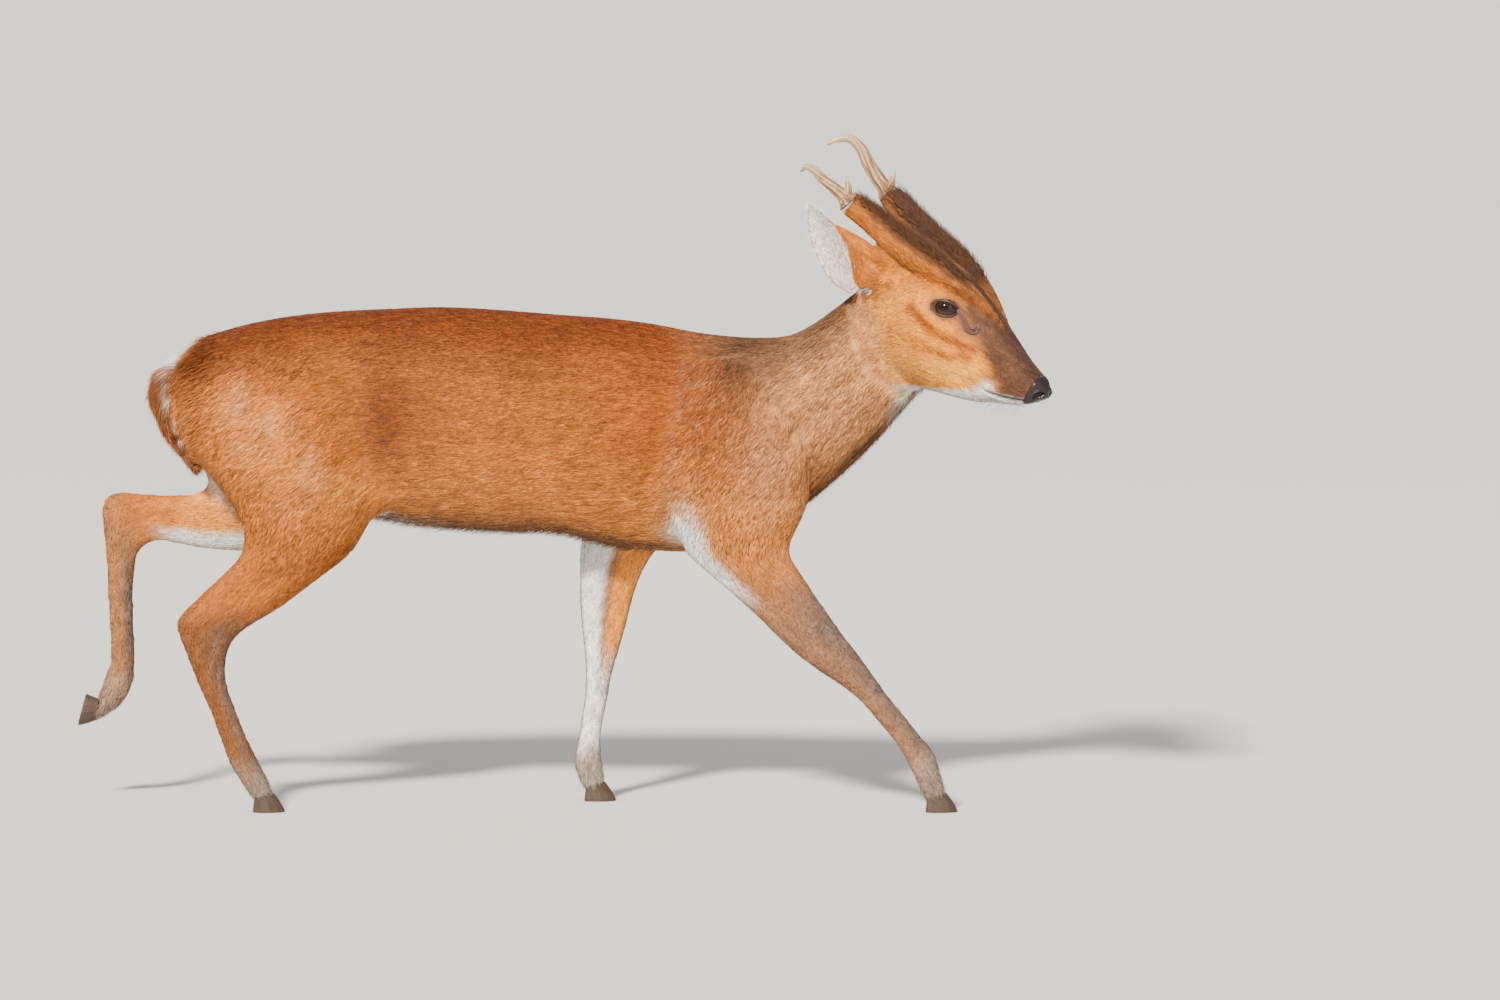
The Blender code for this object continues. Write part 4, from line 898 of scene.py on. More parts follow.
def unwrapSkin(mesh, co, label, near, guide):
    # each part's faces in a strip of their own: along the part, and round it
    corners = fetch(mesh.loops, "vertex_index", 1, int).reshape(-1, 4)
    chart = label[corners[:, 0]].copy()
    inside = guide[3][near[corners[:, 0]]] >= .5
    chart[(chart == 7) & inside] = 11
    chart[(chart == 8) & inside] = 12
    uv = np.zeros((len(corners), 4, 2))
    for k, (left, low, wide, high) in stripPlaces.items():
        rows = np.nonzero(chart == k)[0]
        part = {11: 7, 12: 8}.get(k, k)
        share, angle = (v.reshape(-1, 4) for v in stripSpot(co[corners[rows].ravel()], part))
        angle = angle - np.round(angle - angle[:, :1])      # a face over the seam stays whole
        uv[rows, :, 0] = left + wide * (.02 + .96 * share)
        uv[rows, :, 1] = low + high * (.06 + .88 * (angle + .5))
    mesh.uv_layers.new(name="OFBake").uv.foreach_set("vector", np.clip(uv, 0, 1).astype(np.float32).ravel())
    return corners, uv


skinCorners, skinUv = unwrapSkin(skinMesh, skinPoints, partLabel, nearSample, guide)
say("skin unwrapped")


# materials: a Principled shader each, with its constants on the shader's own sockets
def newMaterial(name, settings):
    material = bpy.data.materials.new(name)
    material.use_nodes = True
    tree = material.node_tree
    shader = next(n for n in tree.nodes if n.type == "BSDF_PRINCIPLED")
    for key, value in settings.items():
        shader.inputs[key].default_value = value
    return material, tree, shader


def node(tree, kind, **values):
    made = tree.nodes.new(kind)
    for key, value in values.items():
        if key in made.inputs:
            made.inputs[key].default_value = value
        else:
            setattr(made, key, value)
    return made


def texture(tree, kind, stretch=None, **values):
    # a pattern on Object coordinates, stretched where a scale is given
    place = node(tree, "ShaderNodeTexCoord").outputs["Object"]
    if stretch:
        scaled = node(tree, "ShaderNodeMapping", Scale=stretch)
        tree.links.new(place, scaled.inputs["Vector"])
        place = scaled.outputs["Vector"]
    made = node(tree, kind, **values)
    tree.links.new(place, made.inputs["Vector"])
    return made.outputs["Distance" if kind == "ShaderNodeTexVoronoi" else "Fac"]


def attribute(tree, name, socket="Color"):
    return node(tree, "ShaderNodeAttribute", attribute_name=name).outputs[socket]


def mixColour(tree, factor, a, b, way="MIX"):
    mix = node(tree, "ShaderNodeMix", data_type="RGBA", blend_type=way)
    for socket, value in ((mix.inputs[0], factor), (mix.inputs[6], a), (mix.inputs[7], b)):
        if isinstance(value, bpy.types.NodeSocket):
            tree.links.new(value, socket)
        else:
            socket.default_value = (*value, 1) if socket.type == "RGBA" else value
    return mix.outputs[2]


def finishMaterial(tree, shader, colour, height=None, strength=0, distance=0):
    tree.links.new(colour, shader.inputs["Base Color"])
    if height:
        lift = node(tree, "ShaderNodeBump", Strength=strength, Distance=distance)
        tree.links.new(height, lift.inputs["Height"])
        tree.links.new(lift.outputs["Normal"], shader.inputs["Normal"])


furShine = {"Specular IOR Level": .16, "Sheen Weight": .05, "Sheen Roughness": .4}


def furMaterial(name, roughness, bumpHeight=0):
    # the pelt's colours, each hair lighter or darker, and combed bumps where there is a height
    material, tree, shader = newMaterial(name, {**furShine, "Roughness": roughness})
    tone = node(tree, "ShaderNodeMapRange", **{"From Min": .3, "From Max": .7, "To Min": .68, "To Max": 1.22})
    tree.links.new(texture(tree, "ShaderNodeTexNoise", Scale=900.0, Detail=2.0), tone.inputs["Value"])
    grey = node(tree, "ShaderNodeCombineColor")
    for k in range(3):
        tree.links.new(tone.outputs["Result"], grey.inputs[k])
    colour = mixColour(tree, 1.0, attribute(tree, "pelt"), grey.outputs["Color"], "MULTIPLY")
    height = None
    if bumpHeight:
        mix = node(tree, "ShaderNodeMix")
        tree.links.new(attribute(tree, "upright", "Fac"), mix.inputs[0])
        for k, stretch in ((2, (1, 9, 9)), (3, (9, 9, 1))):        # along the body, and down the legs
            strands = texture(tree, "ShaderNodeTexNoise", stretch, Scale=110.0, Detail=4.0, Roughness=.65)
            tree.links.new(strands, mix.inputs[k])
        height = mix.outputs[0]
    finishMaterial(tree, shader, colour, height, .8, bumpHeight)
    return material


def plainMaterial(name, colour, roughness, noiseScale, spread, bumpDistance):
    # one colour, a little lighter and darker by a noise that also lifts it
    material, tree, shader = newMaterial(name, {"Roughness": roughness})
    grain = texture(tree, "ShaderNodeTexNoise", Scale=noiseScale, Detail=5.0, Roughness=.6)
    low, high = (tuple(min(.95, v * share) for v in colour) for share in (1 - spread, 1 + spread))
    finishMaterial(tree, shader, mixColour(tree, grain, low, high), grain, .7, bumpDistance)
    return material


coatMaterial = furMaterial("coat", .5)
skinTone = np.exp(.8 * streakShape["depth"] * streakTone(skinPoints, lieFlow, .9))[:, None]
setColours(skinMesh, "pelt", np.clip(peltColour * .86 * skinTone, .003, .95))
upright = np.clip(partShare[:, 2:7].sum(1), 0, 1).astype(np.float32)
skinMesh.attributes.new("upright", "FLOAT", "POINT").data.foreach_set("value", upright)
skinMesh.materials.clear()
fleshNodes = ["torso", "neck", "head", "lower_jaw", "tail", "ear_left", "ear_right", "pedicle_left",
              "pedicle_right", "shank_and_hock_right", "cannon_hind_right", "shank_and_hock_left",
              "cannon_hind_left", "forearm_right", "cannon_fore_right", "forearm_left", "cannon_fore_left"]
dress(skin, furMaterial("skinCoat", .62, bumpHeight=.0012), "body_coat", *fleshNodes)


tuftShape = {
    "wedge": .22,           # height of a tuft against its width
    "lift": .085,           # rise of the tip against the length
    "sink": .5,             # root under the skin, mm
    "toneSpread": .30,      # difference from tuft to tuft
    "darkTips": .27,        # share of tufts with dark tips
    "spread": .13,          # how far the tufts turn from the lie
    "tipTone": 1.25,        # pale tips against the middle
}
diagonals = [skinPoints[skinCorners[:, k + 2]] - skinPoints[skinCorners[:, k]] for k in (0, 1)]
faceArea = np.linalg.norm(np.cross(*diagonals), axis=1) / 2


def vertexToFace(values):
    return values[skinCorners].mean(axis=1)


def pickRoots(weight, count, seed):
    # faces picked evenly by their weight and area, and a random place in each
    chance = np.random.default_rng(seed)
    weight = faceArea * weight
    run = np.cumsum(weight) / weight.sum()
    pick = np.searchsorted(run, (np.arange(count) + chance.random(count)) / count)
    pick = np.minimum(pick, len(run) - 1)
    s, t = chance.random(count), chance.random(count)
    share = np.stack([(1 - s) * (1 - t), s * (1 - t), s * t, (1 - s) * t], axis=1)[..., None]

    def at(values):
        return (values[skinCorners[pick]].reshape(count, 4, -1) * share).sum(axis=1)

    return chance, at, (skinUv[pick] * share).sum(axis=1)


def strandPiece(name, slotName, verts, faces, tones, uv):
    # many small closed solids in one mesh; verts, tones and uv have a row for each solid
    count, size = verts.shape[:2]
    faces = (np.array(faces) + (np.arange(count) * size)[:, None, None]).reshape(-1, 3)
    mesh = bpy.data.meshes.new(name)
    mesh.vertices.add(count * size)
    mesh.vertices.foreach_set("co", (verts + deerShift).ravel())
    mesh.loops.add(faces.size)
    mesh.loops.foreach_set("vertex_index", faces.ravel())
    mesh.polygons.add(len(faces))
    mesh.polygons.foreach_set("loop_start", np.arange(len(faces)) * 3)
    mesh.polygons.foreach_set("loop_total", np.full(len(faces), 3))
    mesh.update(calc_edges=True)
    setColours(mesh, "pelt", np.clip(tones.reshape(-1, 3), .003, .95))
    corners = np.clip(uv.reshape(-1, 2)[faces.ravel()], 0, 1).astype(np.float32)
    mesh.uv_layers.new(name="OFBake").uv.foreach_set("vector", corners.ravel())
    piece = bpy.data.objects.new(name, mesh)
    bpy.context.scene.collection.objects.link(piece)
    dress(piece, coatMaterial, slotName)


def growCoat(name, slotName, density, count, seed, longer=1.0, lift=tuftShape["lift"], grain=1.0, depth=1.0):
    # wedges of four faces: two root corners, a raised middle and the tip, laid along the coat's lie
    chance, at, uvRoot = pickRoots(density, count, seed)
    root, n, lie, tone = at(skinPoints), unit(at(skinNormal)), at(lieFlow), at(peltColour)
    long, wide = at(coatLength * longer)[:, 0], at(coatWidth)[:, 0]
    across = unit(np.cross(n, lie))
    along = np.cross(across, n)
    turn = chance.normal(0, tuftShape["spread"], count)
    turn = turn + .06 * wander(root, .05, 21) + .03 * wander(root, .014, 22)
    lean = along * np.cos(turn)[:, None] + across * np.sin(turn)[:, None]
    long = long * chance.uniform(.75, 1.25, count)
    wide = wide * chance.uniform(.75, 1.3, count)
    up = lift * long * chance.uniform(.5, 1.4, count)
    base = root - n * (tuftShape["sink"] * mm * np.minimum(1, long / (6 * mm)))[:, None]
    half = np.cross(n, lean) * (wide / 2)[:, None]
    top = root + n * (wide * tuftShape["wedge"])[:, None] + lean * (long * .12)[:, None]
    tip = root + lean * long[:, None] + n * up[:, None]
    faces = [[0, 2, 3], [2, 1, 3], [0, 3, 1], [0, 1, 2]]
    spread = chance.normal(0, tuftShape["toneSpread"], count)
    shade = np.exp(spread + depth * streakShape["depth"] * streakTone(root, lean, grain))[:, None]
    dark = (chance.random(count) < tuftShape["darkTips"])[:, None]
    # root corners darkened: partly the hair's banding, partly painted shade at the roots under the
    # overlapping tufts
    tones = [tone * shade * .62, tone * shade * .62, tone * shade * .95,
             tone * shade * np.where(dark, .38, tuftShape["tipTone"])]
    patch = np.array([[-.0015, -.0015], [.0015, -.0015], [0, -.0004], [0, .0015]])
    strandPiece(name, slotName, np.stack([base - half, base + half, top, tip], axis=1), faces,
                np.stack(tones, axis=1), uvRoot[:, None] + patch)


xs, ys, zs = (skinPoints / mm).T
headSpots = unturnHead(skinPoints) / mm
crownShare = np.clip(partShare[:, 1] + partShare[:, 9:11].sum(1), 0, 1)
trunkShare = partShare[:, 0]
tailShare = partShare[:, 6]
legShare = partShare[:, 2:6].sum(1)
earShare = partShare[:, 7:9].sum(1)
earFaces = ((partLabel == 7) | (partLabel == 8)) & (guide[3][nearSample] >= .5)
earInside = blur(earFaces.astype(float), skinEdges, 1)
muzzleShare = crownShare * ramp(headSpots[:, 0], 110, 165)
nearEye = np.minimum(eyeOpening(headSpots, 1)[0], eyeOpening(headSpots, -1)[0])
noseBare = ramp(noseEdge(headSpots[:, 0], headSpots[:, 2]), -2, 1) * crownShare

coatShape = {               # lengths in mm, by how much each part's coat differs from the trunk's
    "trunk": 9.8, "legs": -3.8, "head": -4.2, "muzzle": -1.8, "ears": -5.5, "tail": 7, "belly": 3.0,
    "rump": 2.5, "eyes": -2.5, "least": 2.2, "most": 30, "widthShare": .078, "widths": (.36, 1.4),
}
coatLength = coatShape["trunk"] + coatShape["legs"] * legShare * ramp(alongPart, .3, .55)
coatLength += coatShape["head"] * crownShare + coatShape["muzzle"] * muzzleShare
coatLength += coatShape["ears"] * earShare + coatShape["tail"] * tailShare
coatLength += coatShape["belly"] * trunkShare * ramp(-risePart, .7, 1)
coatLength += coatShape["rump"] * trunkShare * bump(xs, -375, 22)
coatLength += coatShape["eyes"] * (1 - ramp(nearEye, 1.2, 3)) * crownShare
coatLength = np.clip(coatLength, coatShape["least"], coatShape["most"]) * mm
coatWidth = np.clip(coatLength * coatShape["widthShare"], *(v * mm for v in coatShape["widths"]))

bareEye = (1 - ramp(nearEye, 1.3, 1.6)) * crownShare
density = vertexToFace(np.clip(1 - bareEye - noseBare, 0, 1))
isHead = vertexToFace(np.clip(crownShare + earShare, 0, 1))
isLeg = vertexToFace(np.clip(legShare, 0, 1) * ramp(alongPart, .24, .30))
isTail = vertexToFace(tailShare)
isTrunk = density * (1 - np.clip(isHead + isLeg + isTail, 0, 1) > .5)
faceX = vertexToFace(xs)
moreMuzzle = vertexToFace(muzzleShare)

# four pieces of equal share along the trunk, so that the coat is equally thick over their borders
order = np.argsort(faceX)
run = np.cumsum((faceArea * isTrunk)[order])
cuts = [-900, *faceX[order][np.searchsorted(run, run[-1] * np.array([.25, .5, .75]))], 900]
for k, name in enumerate(("coatHaunches", "coatLoin", "coatChest", "coatShoulders")):
    band = isTrunk * ((faceX >= cuts[k]) & (faceX < cuts[k + 1]))
    growCoat(name, "neck_coat" if k == 3 else "body_coat", band, 47000, seed=31 + k)
onLegs = density * (isLeg >= .5)
onHead = density * (isHead > .5)
growCoat("coatLegsFront", "leg_coat", onLegs * (faceX > 0), 22000, seed=41, grain=.75)
growCoat("coatLegsHind", "leg_coat", onLegs * (faceX <= 0), 25000, seed=42, grain=.75)
growCoat("coatHead", "head_coat", onHead * (1 + moreMuzzle), 44000, seed=43, grain=.8, depth=1.3)
onFace = onHead * (1 + 1.5 * moreMuzzle) * (1 - .6 * vertexToFace(earShare))
growCoat("coatFace", "head_coat", onFace, 40000, seed=44, grain=.8, depth=1.3)
growCoat("coatTail", "pale_coat", density * (isTail > .5), 12000, seed=45, longer=1.1, lift=.07, grain=1.2)
say("coat grown")


eyeColours = {
    "iris": (.030, .012, .006), "irisLow": (.075, .030, .012), "rim": (.010, .006, .005),
    "pupil": (.002, .002, .003), "streak": (.012, .006, .004),
}


def eyePiece(side):
    # ball turned to its look, bulged at the front, with iris and pupil coloured by distance from its axis
    ahead, up, out, centre = eyeAxes(side)
    polar = np.linspace(0, math.pi, 64)[:, None]
    turn = np.linspace(0, 2 * math.pi, 72, endpoint=False)[None]
    r = ((eyeShape["radius"] - .25) * (1 + .035 * np.exp(-(polar / .55) ** 4)))[..., None]
    flat = [np.sin(polar) * np.cos(turn), np.sin(polar) * np.sin(turn), np.cos(polar) + 0 * turn]
    local = np.stack(flat, axis=-1) * r
    grid = centre + local[..., :1] * ahead + local[..., 1:2] * up + local[..., 2:3] * out
    verts = np.concatenate([grid[:1, 0], grid[1:-1].reshape(-1, 3), grid[-1:, 0]])
    size, last = 72, len(verts) - 1
    faces = gridFaces(62, size, 1)
    k = np.arange(size)
    faces += np.stack([0 * k, 1 + (k + 1) % size, 1 + k], axis=1).tolist()
    faces += np.stack([0 * k + last, last - size + k, last - size + (k + 1) % size], axis=1).tolist()
    piece = headPiece("eyeLeft" if side > 0 else "eyeRight", verts, faces)
    d = (verts - centre) / eyeShape["radius"]
    u, v = d @ ahead, d @ up
    rim = np.sqrt((u / .86) ** 2 + (v / .80) ** 2)
    iris, low, edge, pupil = (np.array(eyeColours[key]) for key in ("iris", "irisLow", "rim", "pupil"))
    tone = iris + (low - iris) * ramp(-v, .0, .5)[:, None]
    tone = tone * (1 - .6 * ramp(rim, .7, 1))[:, None] + edge * ramp(rim, .9, 1.05)[:, None]
    hole = (1 - ramp(np.sqrt((u / .46) ** 2 + (v / .25) ** 2), .85, 1.1))[:, None]
    setColours(piece.data, "iris", tone * (1 - hole) + pupil * hole)
    return piece


def eyeMaterial():
    gloss = {"Roughness": .07, "Specular IOR Level": .24, "Coat Weight": .06, "Coat Roughness": .02}
    material, tree, shader = newMaterial("eyeGloss", gloss)
    streaks = texture(tree, "ShaderNodeTexNoise", Scale=700.0, Detail=2.0)
    finishMaterial(tree, shader, mixColour(tree, streaks, attribute(tree, "iris"), eyeColours["streak"]))
    return material


def lidPiece(side):
    # thin roll along the rim, fuller at the corners: a circle carried round an ellipse on the ball
    ahead, up, out, centre = eyeAxes(side)
    turn = np.linspace(0, 2 * math.pi, 96, endpoint=False)
    corners = .05 * (bump(turn, 0, .25) + bump(turn, 2 * math.pi, .25))
    u = eyeShape["half"][0] * 1.06 * np.cos(turn) * (1 + corners)
    v = eyeShape["half"][1] * 1.03 * np.sin(turn) * (1 - .12 * np.abs(np.cos(turn)) ** 3)
    w = np.sqrt(np.maximum((eyeShape["radius"] + .35) ** 2 - u**2 - v**2, 0))
    middle = centre + u[:, None] * ahead + v[:, None] * up + w[:, None] * out
    away = unit(middle - centre)
    across = np.cross(unit(np.roll(middle, -1, 0) - np.roll(middle, 1, 0)), away)
    ring = np.linspace(0, 2 * math.pi, 12, endpoint=False)[None, :, None]
    thick = (1.15 + .25 * np.maximum(np.sin(turn), 0))[:, None, None]
    circle = np.cos(ring) * across[:, None] * 1.1 + np.sin(ring) * away[:, None] * .8
    grid = middle[:, None] + thick * circle
    faces = gridFaces(*grid.shape[:2], closed=True)
    return headPiece("lidLeft" if side > 0 else "lidRight", grid.reshape(-1, 3), faces)


eyeGloss = eyeMaterial()
lidMaterial = plainMaterial("lidSkin", (.030, .017, .014), .5, 900, .35, .0003)
for side, name in ((1, "eye_left"), (-1, "eye_right")):
    dress(eyePiece(side), eyeGloss, "eye_gloss", name)
for side in (1, -1):
    dress(lidPiece(side), lidMaterial, "nose_skin")


noseShape = {
    "nostril": (198.5, 12.5, 442.5),     # straight head, left side
    "nostrilHalf": (6.2, 3.3),           # half length and height
    "nostrilTilt": .35,
    "nostrilDepth": 6.0,
    "proud": .5,                         # over the skin, mm
    "tip": (4.2, 0, -1.0),               # how far the rounded end stands out
}


def nosePiece():
    # last rings of the head's profile, rounded shut: ring scale cos, push ahead sin; nostrils pressed in
    grid = superellipses(profileKeys("head", 400)[318:], 128)
    last = grid[-1]
    middle = last.mean(axis=0)
    swing = np.linspace(0, math.pi / 2, 15)[1:-1, None, None]
    tip = np.array(noseShape["tip"])
    grid = np.concatenate([grid, middle + (last - middle)[None] * np.cos(swing) + tip * np.sin(swing)])
    verts = np.concatenate([grid.reshape(-1, 3), [middle + tip]])
    rings, size = grid.shape[:2]
    k = np.arange(size)
    end = (rings - 1) * size
    fan = np.stack([end + k, end + (k + 1) % size, 0 * k + len(verts) - 1], axis=1)
    piece = meshObject("nosePad", verts, gridFaces(rings, size) + fan.tolist() + [k[::-1].tolist()])
    turnOut(piece)
    normal = fetch(piece.data.vertices, "normal", 3)
    # behind the pad's rim the piece lies under the skin
    pad = ramp(noseEdge(verts[:, 0], verts[:, 2]), -1.5, 1.0)
    lift = -2.2 + (2.2 + noseShape["proud"]) * pad * ramp(verts[:, 2], 431.5, 434)
    tone = np.tile(np.array(pelt["nose"]), (len(verts), 1))
    cos, sin = math.cos(noseShape["nostrilTilt"]), math.sin(noseShape["nostrilTilt"])
    for side in (1, -1):
        d = verts - np.array(noseShape["nostril"]) * (1, side, 1)
        ahead = -side * d[:, 1] * .75 + d[:, 0] * .5
        u = ahead * cos + d[:, 2] * sin
        v = -ahead * sin + d[:, 2] * cos + .045 * u**2
        e = np.sqrt((u / noseShape["nostrilHalf"][0]) ** 2 + (v / noseShape["nostrilHalf"][1]) ** 2)
        own = verts[:, 1] * side > 1.5
        lift += own * (-noseShape["nostrilDepth"] * (1 - ramp(e, .35, 1.05)) + 1.1 * bump(e, 1.35, .3))
        pink = own * (1 - ramp(e, .55, .95)) * ramp(-u, -4, 3)
        tone += (np.array(pelt["pink"]) * .8 - tone) * pink[:, None]
        # painted shade deep in each nostril
        tone *= (1 - .7 * own * (1 - ramp(e, .3, .9)) * ramp(u, -2, 3))[:, None]
    lift -= 1.0 * bump(verts[:, 1], 0, .8) * ramp(verts[:, 0], 192, 200)
    lift += .35 * wander(verts, 9, 61) * pad
    done = turnHead((verts + normal * lift[:, None]) * mm) + deerShift
    piece.data.vertices.foreach_set("co", done.ravel())
    piece.data.update()
    setColours(piece.data, "pelt", np.clip(tone, .004, .9))
    return piece


def noseMaterial():
    gloss = {"Roughness": .32, "Specular IOR Level": .28, "Coat Weight": .08, "Coat Roughness": .15}
    material, tree, shader = newMaterial("moistNose", gloss)
    cells = texture(tree, "ShaderNodeTexVoronoi", Scale=850.0)
    finishMaterial(tree, shader, attribute(tree, "pelt"), cells, .55, .0003)
    return material


dress(nosePiece(), noseMaterial(), "nose_skin", "nose_pad")


# two rolls of each gland's fold, front to back: x, z and radius in the straight head, and how proud they lie
foldShape = {
    "outer": ([(110.5, 530, .5), (115, 524, 1.0), (117.5, 517, 1.3), (120, 510, 1.6), (125, 506, 1.7),
               (131, 507.5, 1.4), (134, 512, .7)], -.3),
    "inner": ([(114, 528.5, .4), (119, 522.5, .9), (121.5, 516, 1.1), (124.5, 511.5, 1.2), (128, 510.5, 1.0),
               (130.5, 513, .5)], -.5),
}


def onSkin(path, side, proud):
    # points of the straight head moved across to the skin's surface, plus a height
    mine = headSpots[(np.sign(headSpots[:, 1]) == side) & (crownShare > .5)]
    found = []
    for x, z, radius in path:
        close = np.argsort(((mine[:, [0, 2]] - (x, z)) ** 2).sum(1))[:6]
        found.append((x, side * (np.abs(mine[close, 1]).max() + proud), z, radius))
    return found


def foldPiece(side):
    # round rolls carried along smooth paths, tapering to their ends
    verts, faces = [], []
    for path, proud in foldShape.values():
        rows = smoothRows(onSkin(path, side, proud), 40)
        rows[:, 3] *= np.sin(np.linspace(.06, .94, 40) * math.pi) ** .5
        addShell(verts, faces, tubeRings(rows, 10))
    return headPiece("glandFoldLeft" if side > 0 else "glandFoldRight", np.concatenate(verts), faces)


foldMaterial = plainMaterial("foldSkin", (.070, .036, .028), .42, 700, .35, .0003)
for side in (1, -1):
    dress(foldPiece(side), foldMaterial, "nose_skin")


antlerShape = {               # x, y, z and radius in the straight head, y to the outside
    "beamRight": [(-2.5, 51.3, 640.2, 11.5), (-8, 53, 646, 7.4), (-17, 55.5, 654.5, 5.9),
                  (-30, 57, 664.5, 5.1), (-42, 54.5, 673.5, 4.5), (-54, 48, 676.5, 3.5), (-63, 42, 671, 1.2)],
    "beamLeft": [(-2.5, 51.3, 640.2, 11.5), (-8, 53.5, 647, 8.3), (-19, 56.5, 658, 7.5), (-31, 59, 674, 6.8),
                 (-40, 58.5, 690, 5.8), (-50, 53, 700, 4.6), (-61, 44.5, 700, 3.6), (-69, 37.5, 694.5, 1.2)],
    "tineRight": [(-7, 51.5, 644, 5.8), (-5, 50, 655, 3.9), (-8, 47, 667, .9)],
    "tineLeft": [(-7, 51.5, 645, 5.8), (-1, 50.5, 655, 4.0), (4, 49, 667, .9)],
    "groove": .085,          # depth of the grooves against the radius
    "burr": 2.2,             # height of the pearls at the foot
    "bone": (.60, .38, .19), "tipBone": (.84, .68, .46), "dirt": (.13, .055, .018),
}


def antlerPiece(name, path, side, foot, seed):
    # circle carried along a smooth path; radius times 1 + ridges that run along it; pearls round the foot
    rows = smoothRows(mirrored(path, side), 130)
    turn = np.linspace(0, 2 * math.pi, 72, endpoint=False)[None]
    s = np.linspace(0, 1, 130)[:, None]
    wave = np.sin(7 * turn + 3 * np.sin(5 * s + seed) + seed) + .6 * np.sin(12 * turn - 4 * s + 2.1 * seed)
    wave = wave + .5 * np.sin(19 * turn + 9 * s)
    fade = np.clip(1.25 - 1.35 * s, 0, 1)
    r = rows[:, 3:4] * (1 + antlerShape["groove"] * wave / 1.6 * fade)
    if foot:
        pearls = np.maximum(np.sin(13 * turn + 1.5 * np.sin(3 * turn + seed)), 0) ** .7 * bump(s, .028, .022)
        pearls = pearls + .7 * np.maximum(np.sin(9 * turn + 1.2), 0) * bump(s, .085, .02)
        r = r + antlerShape["burr"] * pearls
    bone, tip, dirt = (np.array(antlerShape[key]) for key in ("bone", "tipBone", "dirt"))
    tone = bone + (tip - bone) * ramp(s, .35, .9)[..., None]
    dirty = np.clip(.60 - .75 * wave, 0, 1) * np.sqrt(fade) * .95
    dirty = dirty + .5 * bump(s, 0, .08) * foot + .5 * ramp(s, .93, 1)
    tone = tone + (dirt - tone) * np.clip(dirty, 0, .85)[..., None]
    verts, faces = [], []
    addShell(verts, faces, tubeRings(rows, 72, r, (0, side, 0)))
    piece = headPiece(name, np.concatenate(verts), faces)
    setColours(piece.data, "pelt", tone.reshape(-1, 3))
    return piece


def boneMaterial():
    material, tree, shader = newMaterial("antlerBone", {"Roughness": .42})
    grain = texture(tree, "ShaderNodeTexNoise", Scale=420.0, Detail=5.0, Roughness=.65)
    stain = mixColour(tree, grain, (.46, .33, .20), (1.0, .95, .86))
    colour = mixColour(tree, 1.0, attribute(tree, "pelt"), stain, "MULTIPLY")
    finishMaterial(tree, shader, colour, grain, .6, .0004)
    return material


antlerBone = boneMaterial()
for key, name, side, seed, cadNode in (("beamRight", "antlerRight", -1, 1, "antler_right_beam"),
                                       ("beamLeft", "antlerLeft", 1, 4, "antler_left_beam"),
                                       ("tineRight", "tineRight", -1, 2, "antler_right_brow_tine"),
                                       ("tineLeft", "tineLeft", 1, 3, "antler_left_brow_tine")):
    piece = antlerPiece(name, antlerShape[key], side, key.startswith("beam"), seed)
    dress(piece, antlerBone, "antler_bone", cadNode)


def hornMaterial():
    # the claws keep their solids, in a horn of fine level bands
    material, tree, shader = newMaterial("hoofHorn", {"Roughness": .5, "Specular IOR Level": .2})
    bands = texture(tree, "ShaderNodeTexWave", Scale=160.0, Distortion=6.0, Detail=3.0, bands_direction="Z")
    worn = texture(tree, "ShaderNodeTexNoise", Scale=90.0, Detail=4.0)
    dark = mixColour(tree, bands, (.022, .012, .008), (.050, .030, .019))
    finishMaterial(tree, shader, mixColour(tree, worn, dark, (.085, .055, .036)), bands, .5, .0003)
    return material


hoofHorn = hornMaterial()
for foot in ("hind_right", "hind_left", "fore_right", "fore_left"):
    for tag in ("a", "b"):
        claw = bpy.data.objects["hoof_" + foot + "_" + tag]
        claw.data.materials.clear()
        claw.data.materials.append(hoofHorn)


def growHairs(name, slotName, mark, count, long, wide, lift, seed, turnTo=(0, 0, 0), tone=None, bend=.12):
    # three-sided tapered hairs: middle lifted square to the lean, tip a little less; lengths and widths in mm
    chance, at, uvRoot = pickRoots(vertexToFace(mark), count, seed)
    root, n, lie, tones = at(skinPoints), unit(at(skinNormal)), at(lieFlow), at(peltColour)
    lean = lie + n * (lift * chance.uniform(.6, 1.4, count))[:, None] + chance.normal(0, .12, (count, 3))
    lean = unit(lean + np.array(turnTo))
    if tone:
        tones = tones * 0 + np.array(pelt[tone])
    long = (long * mm * chance.uniform(.65, 1.25, count))[:, None]
    wide = (wide * mm * chance.uniform(.7, 1.2, count))[:, None]
    root = root - n * .0004
    across = unit(np.cross(lean, n))
    up = np.cross(across, lean)
    corners = (across * .5, -across * .5, up * .45)
    rings = [root + c * wide for c in corners]
    rings += [root + lean * (long * .5) + up * (long * bend * .5) + c * (wide * .75) for c in corners]
    tip = root + lean * long + up * (long * bend * .4)
    faces = [[0, 1, 4], [0, 4, 3], [1, 2, 5], [1, 5, 4], [2, 0, 3], [2, 3, 5],
             [3, 4, 6], [4, 5, 6], [5, 3, 6], [0, 2, 1]]
    tones = tones * np.exp(np.random.default_rng(seed).normal(0, .14, count))[:, None]
    patch = np.array([[-.0015, -.0015], [.0015, -.0015], [0, -.0012], [-.001, 0], [.001, 0],
                      [0, .0003], [0, .0015]])
    # root ring darkened: partly the hair's banding, partly painted shade at the roots
    strandPiece(name, slotName, np.stack(rings + [tip], axis=1), faces,
                np.stack([tones * .7] * 3 + [tones] * 3 + [tones * 1.2], axis=1), uvRoot[:, None] + patch)


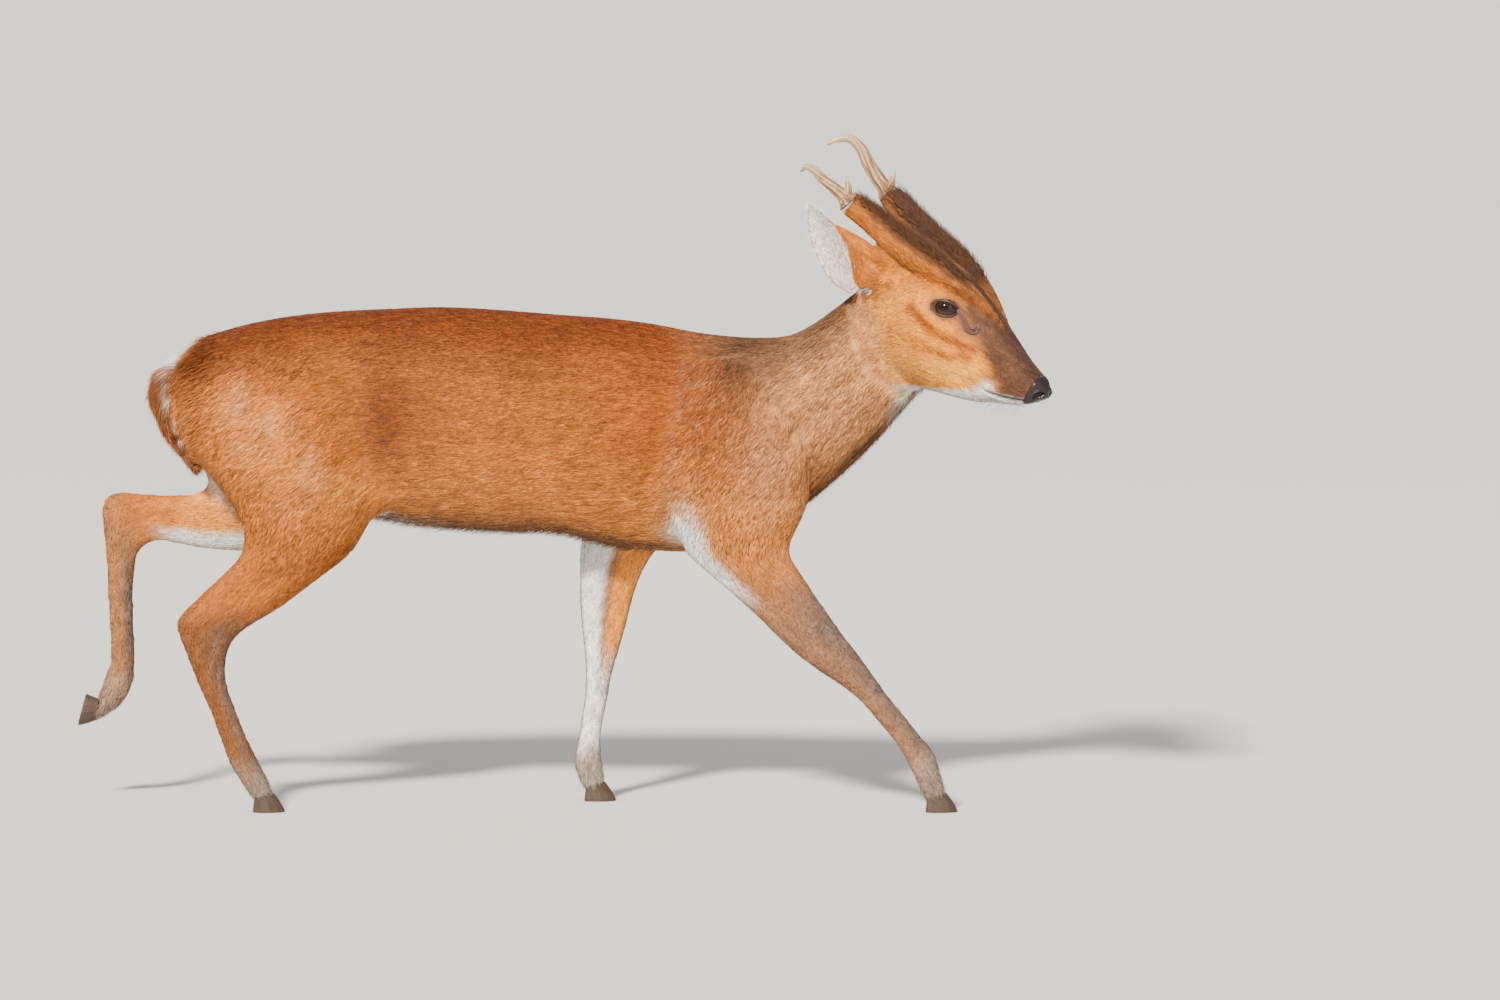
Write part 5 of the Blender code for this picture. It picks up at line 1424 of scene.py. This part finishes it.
crestMark = 0
for side in (1, -1):
    d, t, ahead, inward = aboutStalk(headSpots, side)
    edge = ramp(.8 * ahead + .6 * inward, 5, 12)
    crestMark = np.maximum(crestMark, (d < 19) * edge * ramp(t, .22, .34) * (1 - .4 * ramp(t, .9, 1)))
crestMark = crestMark * (crownShare > .5)
growHairs("crestHair", "head_coat", crestMark, 4600, 13, .48, .42, 71, tone="crestHair")
mark = tailSeam(xs, ys, zs) * ramp(tailShare, .1, .4)
growHairs("tailFringe", "pale_coat", mark, 700, 6, .4, .10, 72, turnTo=(0, 0, -.5), tone="white")
growHairs("tailBack", "pale_coat", tailShare * ramp(-skinNormal[:, 0], .1, .5), 2200, 22, .7, .05, 73)
mark = tailRoot(xs, ys, zs)
growHairs("tailRootHair", "pale_coat", mark, 600, 11, .42, .6, 77, turnTo=(-.2, 0, .4), tone="white")
# dark hairs along the belly's lower edge, coloured as painted shadow
mark = trunkShare * ramp(-risePart, .86, .97) * ramp(xs, -225, -190) * (1 - ramp(xs, 60, 110))
growHairs("bellyShadowHair", "body_coat", mark, 3000, 13, .5, .30, 78, turnTo=(-.2, 0, -.35), tone="shadowHair")
# dark hairs under the throat, coloured as painted shadow
mark = trunkShare * ramp(-risePart, .84, .96) * ramp(xs, 240, 270)
growHairs("throatShadowHair", "neck_coat", mark, 2200, 10, .45, .35, 79, tone="shadowHair")
growHairs("coronetHair", "leg_coat", legShare * ramp(alongPart, .93, .97), 2600, 9, .55, .16, 80)
mark = bump(xs, -385, 14) * trunkShare * ramp(zs, 350, 390)
growHairs("rumpHair", "body_coat", mark, 1800, 16, .8, .35, 74)
mark = (earInside * (1 - earInside) * 4 + .25 * earInside * (1 - ramp(alongPart, .3, .8))) * earShare
growHairs("earHair", "ear_coat", np.clip(mark, 0, 1), 2200, 10, .45, .45, 75, tone="white")
mark = crownShare * ramp(headSpots[:, 0], 120, 150) * (1 - ramp(headSpots[:, 2], 436, 442)) * (1 - noseBare)
growHairs("whiskers", "head_coat", mark, 46, 22, .32, .9, 76, tone="crest", bend=-.1)
say("long hairs grown")


half = 36.0         # half size of the floor in metres, wide enough to fill the view
corners = [(-half, -half, 0), (half, -half, 0), (half, half, 0), (-half, half, 0)]
floor = meshObject("floor", corners, [[0, 1, 2, 3]], smooth=False)
floor.data.materials.append(plainMaterial("floorPaper", (.70, .68, .64), .9, 6, .02, .0001))

studio = {              # place, aim, size, power and colour of the soft lights; the sun has a direction
    "fillLight": ((2.6, -2.6, 1.4), (.1, 0, .35), 2.4, 26, (1.0, .98, .95)),
    "rimLight": ((.6, 2.6, 2.4), (0, 0, .4), 1.8, 22, (1.0, .97, .92)),
}
sunlight = {"way": (.34, 1.0, -.72), "power": 9.2, "angle": 7, "colour": (1.0, .95, .87)}
sky = {"colour": (.97, .98, 1.0), "power": .50}
view = {"elevation": 5.0, "distance": 15.0, "width": 1.575, "target": (.1982, 0, .3246)}


def place(name, data, spot, way):
    # an object at a spot, looking along a way
    rig = bpy.data.objects.new(name, data)
    rig.location = spot
    rig.rotation_euler = Vector(way).to_track_quat("-Z", "Y").to_euler()
    bpy.context.scene.collection.objects.link(rig)
    return rig


world = bpy.data.worlds.new("studio")
bpy.context.scene.world = world
world.use_nodes = True
world.node_tree.nodes["Background"].inputs["Color"].default_value = (*sky["colour"], 1)
world.node_tree.nodes["Background"].inputs["Strength"].default_value = sky["power"]
sun = bpy.data.lights.new("keyLight", "SUN")
sun.energy = sunlight["power"]
sun.angle = math.radians(sunlight["angle"])
sun.color = sunlight["colour"]
place("keyLight", sun, (0, 0, 0), sunlight["way"])
for name, (spotOf, aim, size, power, colour) in studio.items():
    light = bpy.data.lights.new(name, "AREA")
    light.size = size
    light.energy = power
    light.color = colour
    place(name, light, spotOf, Vector(aim) - Vector(spotOf))

camera = bpy.data.cameras.new("camera")
camera.sensor_width = 36
camera.lens = camera.sensor_width * view["distance"] / view["width"]
camera.clip_end = 60
lower = math.radians(view["elevation"])
back = Vector((0, -math.cos(lower), math.sin(lower))) * view["distance"]
bpy.context.scene.camera = place("camera", camera, Vector(view["target"]) + back, -back)

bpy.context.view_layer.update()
say("done")
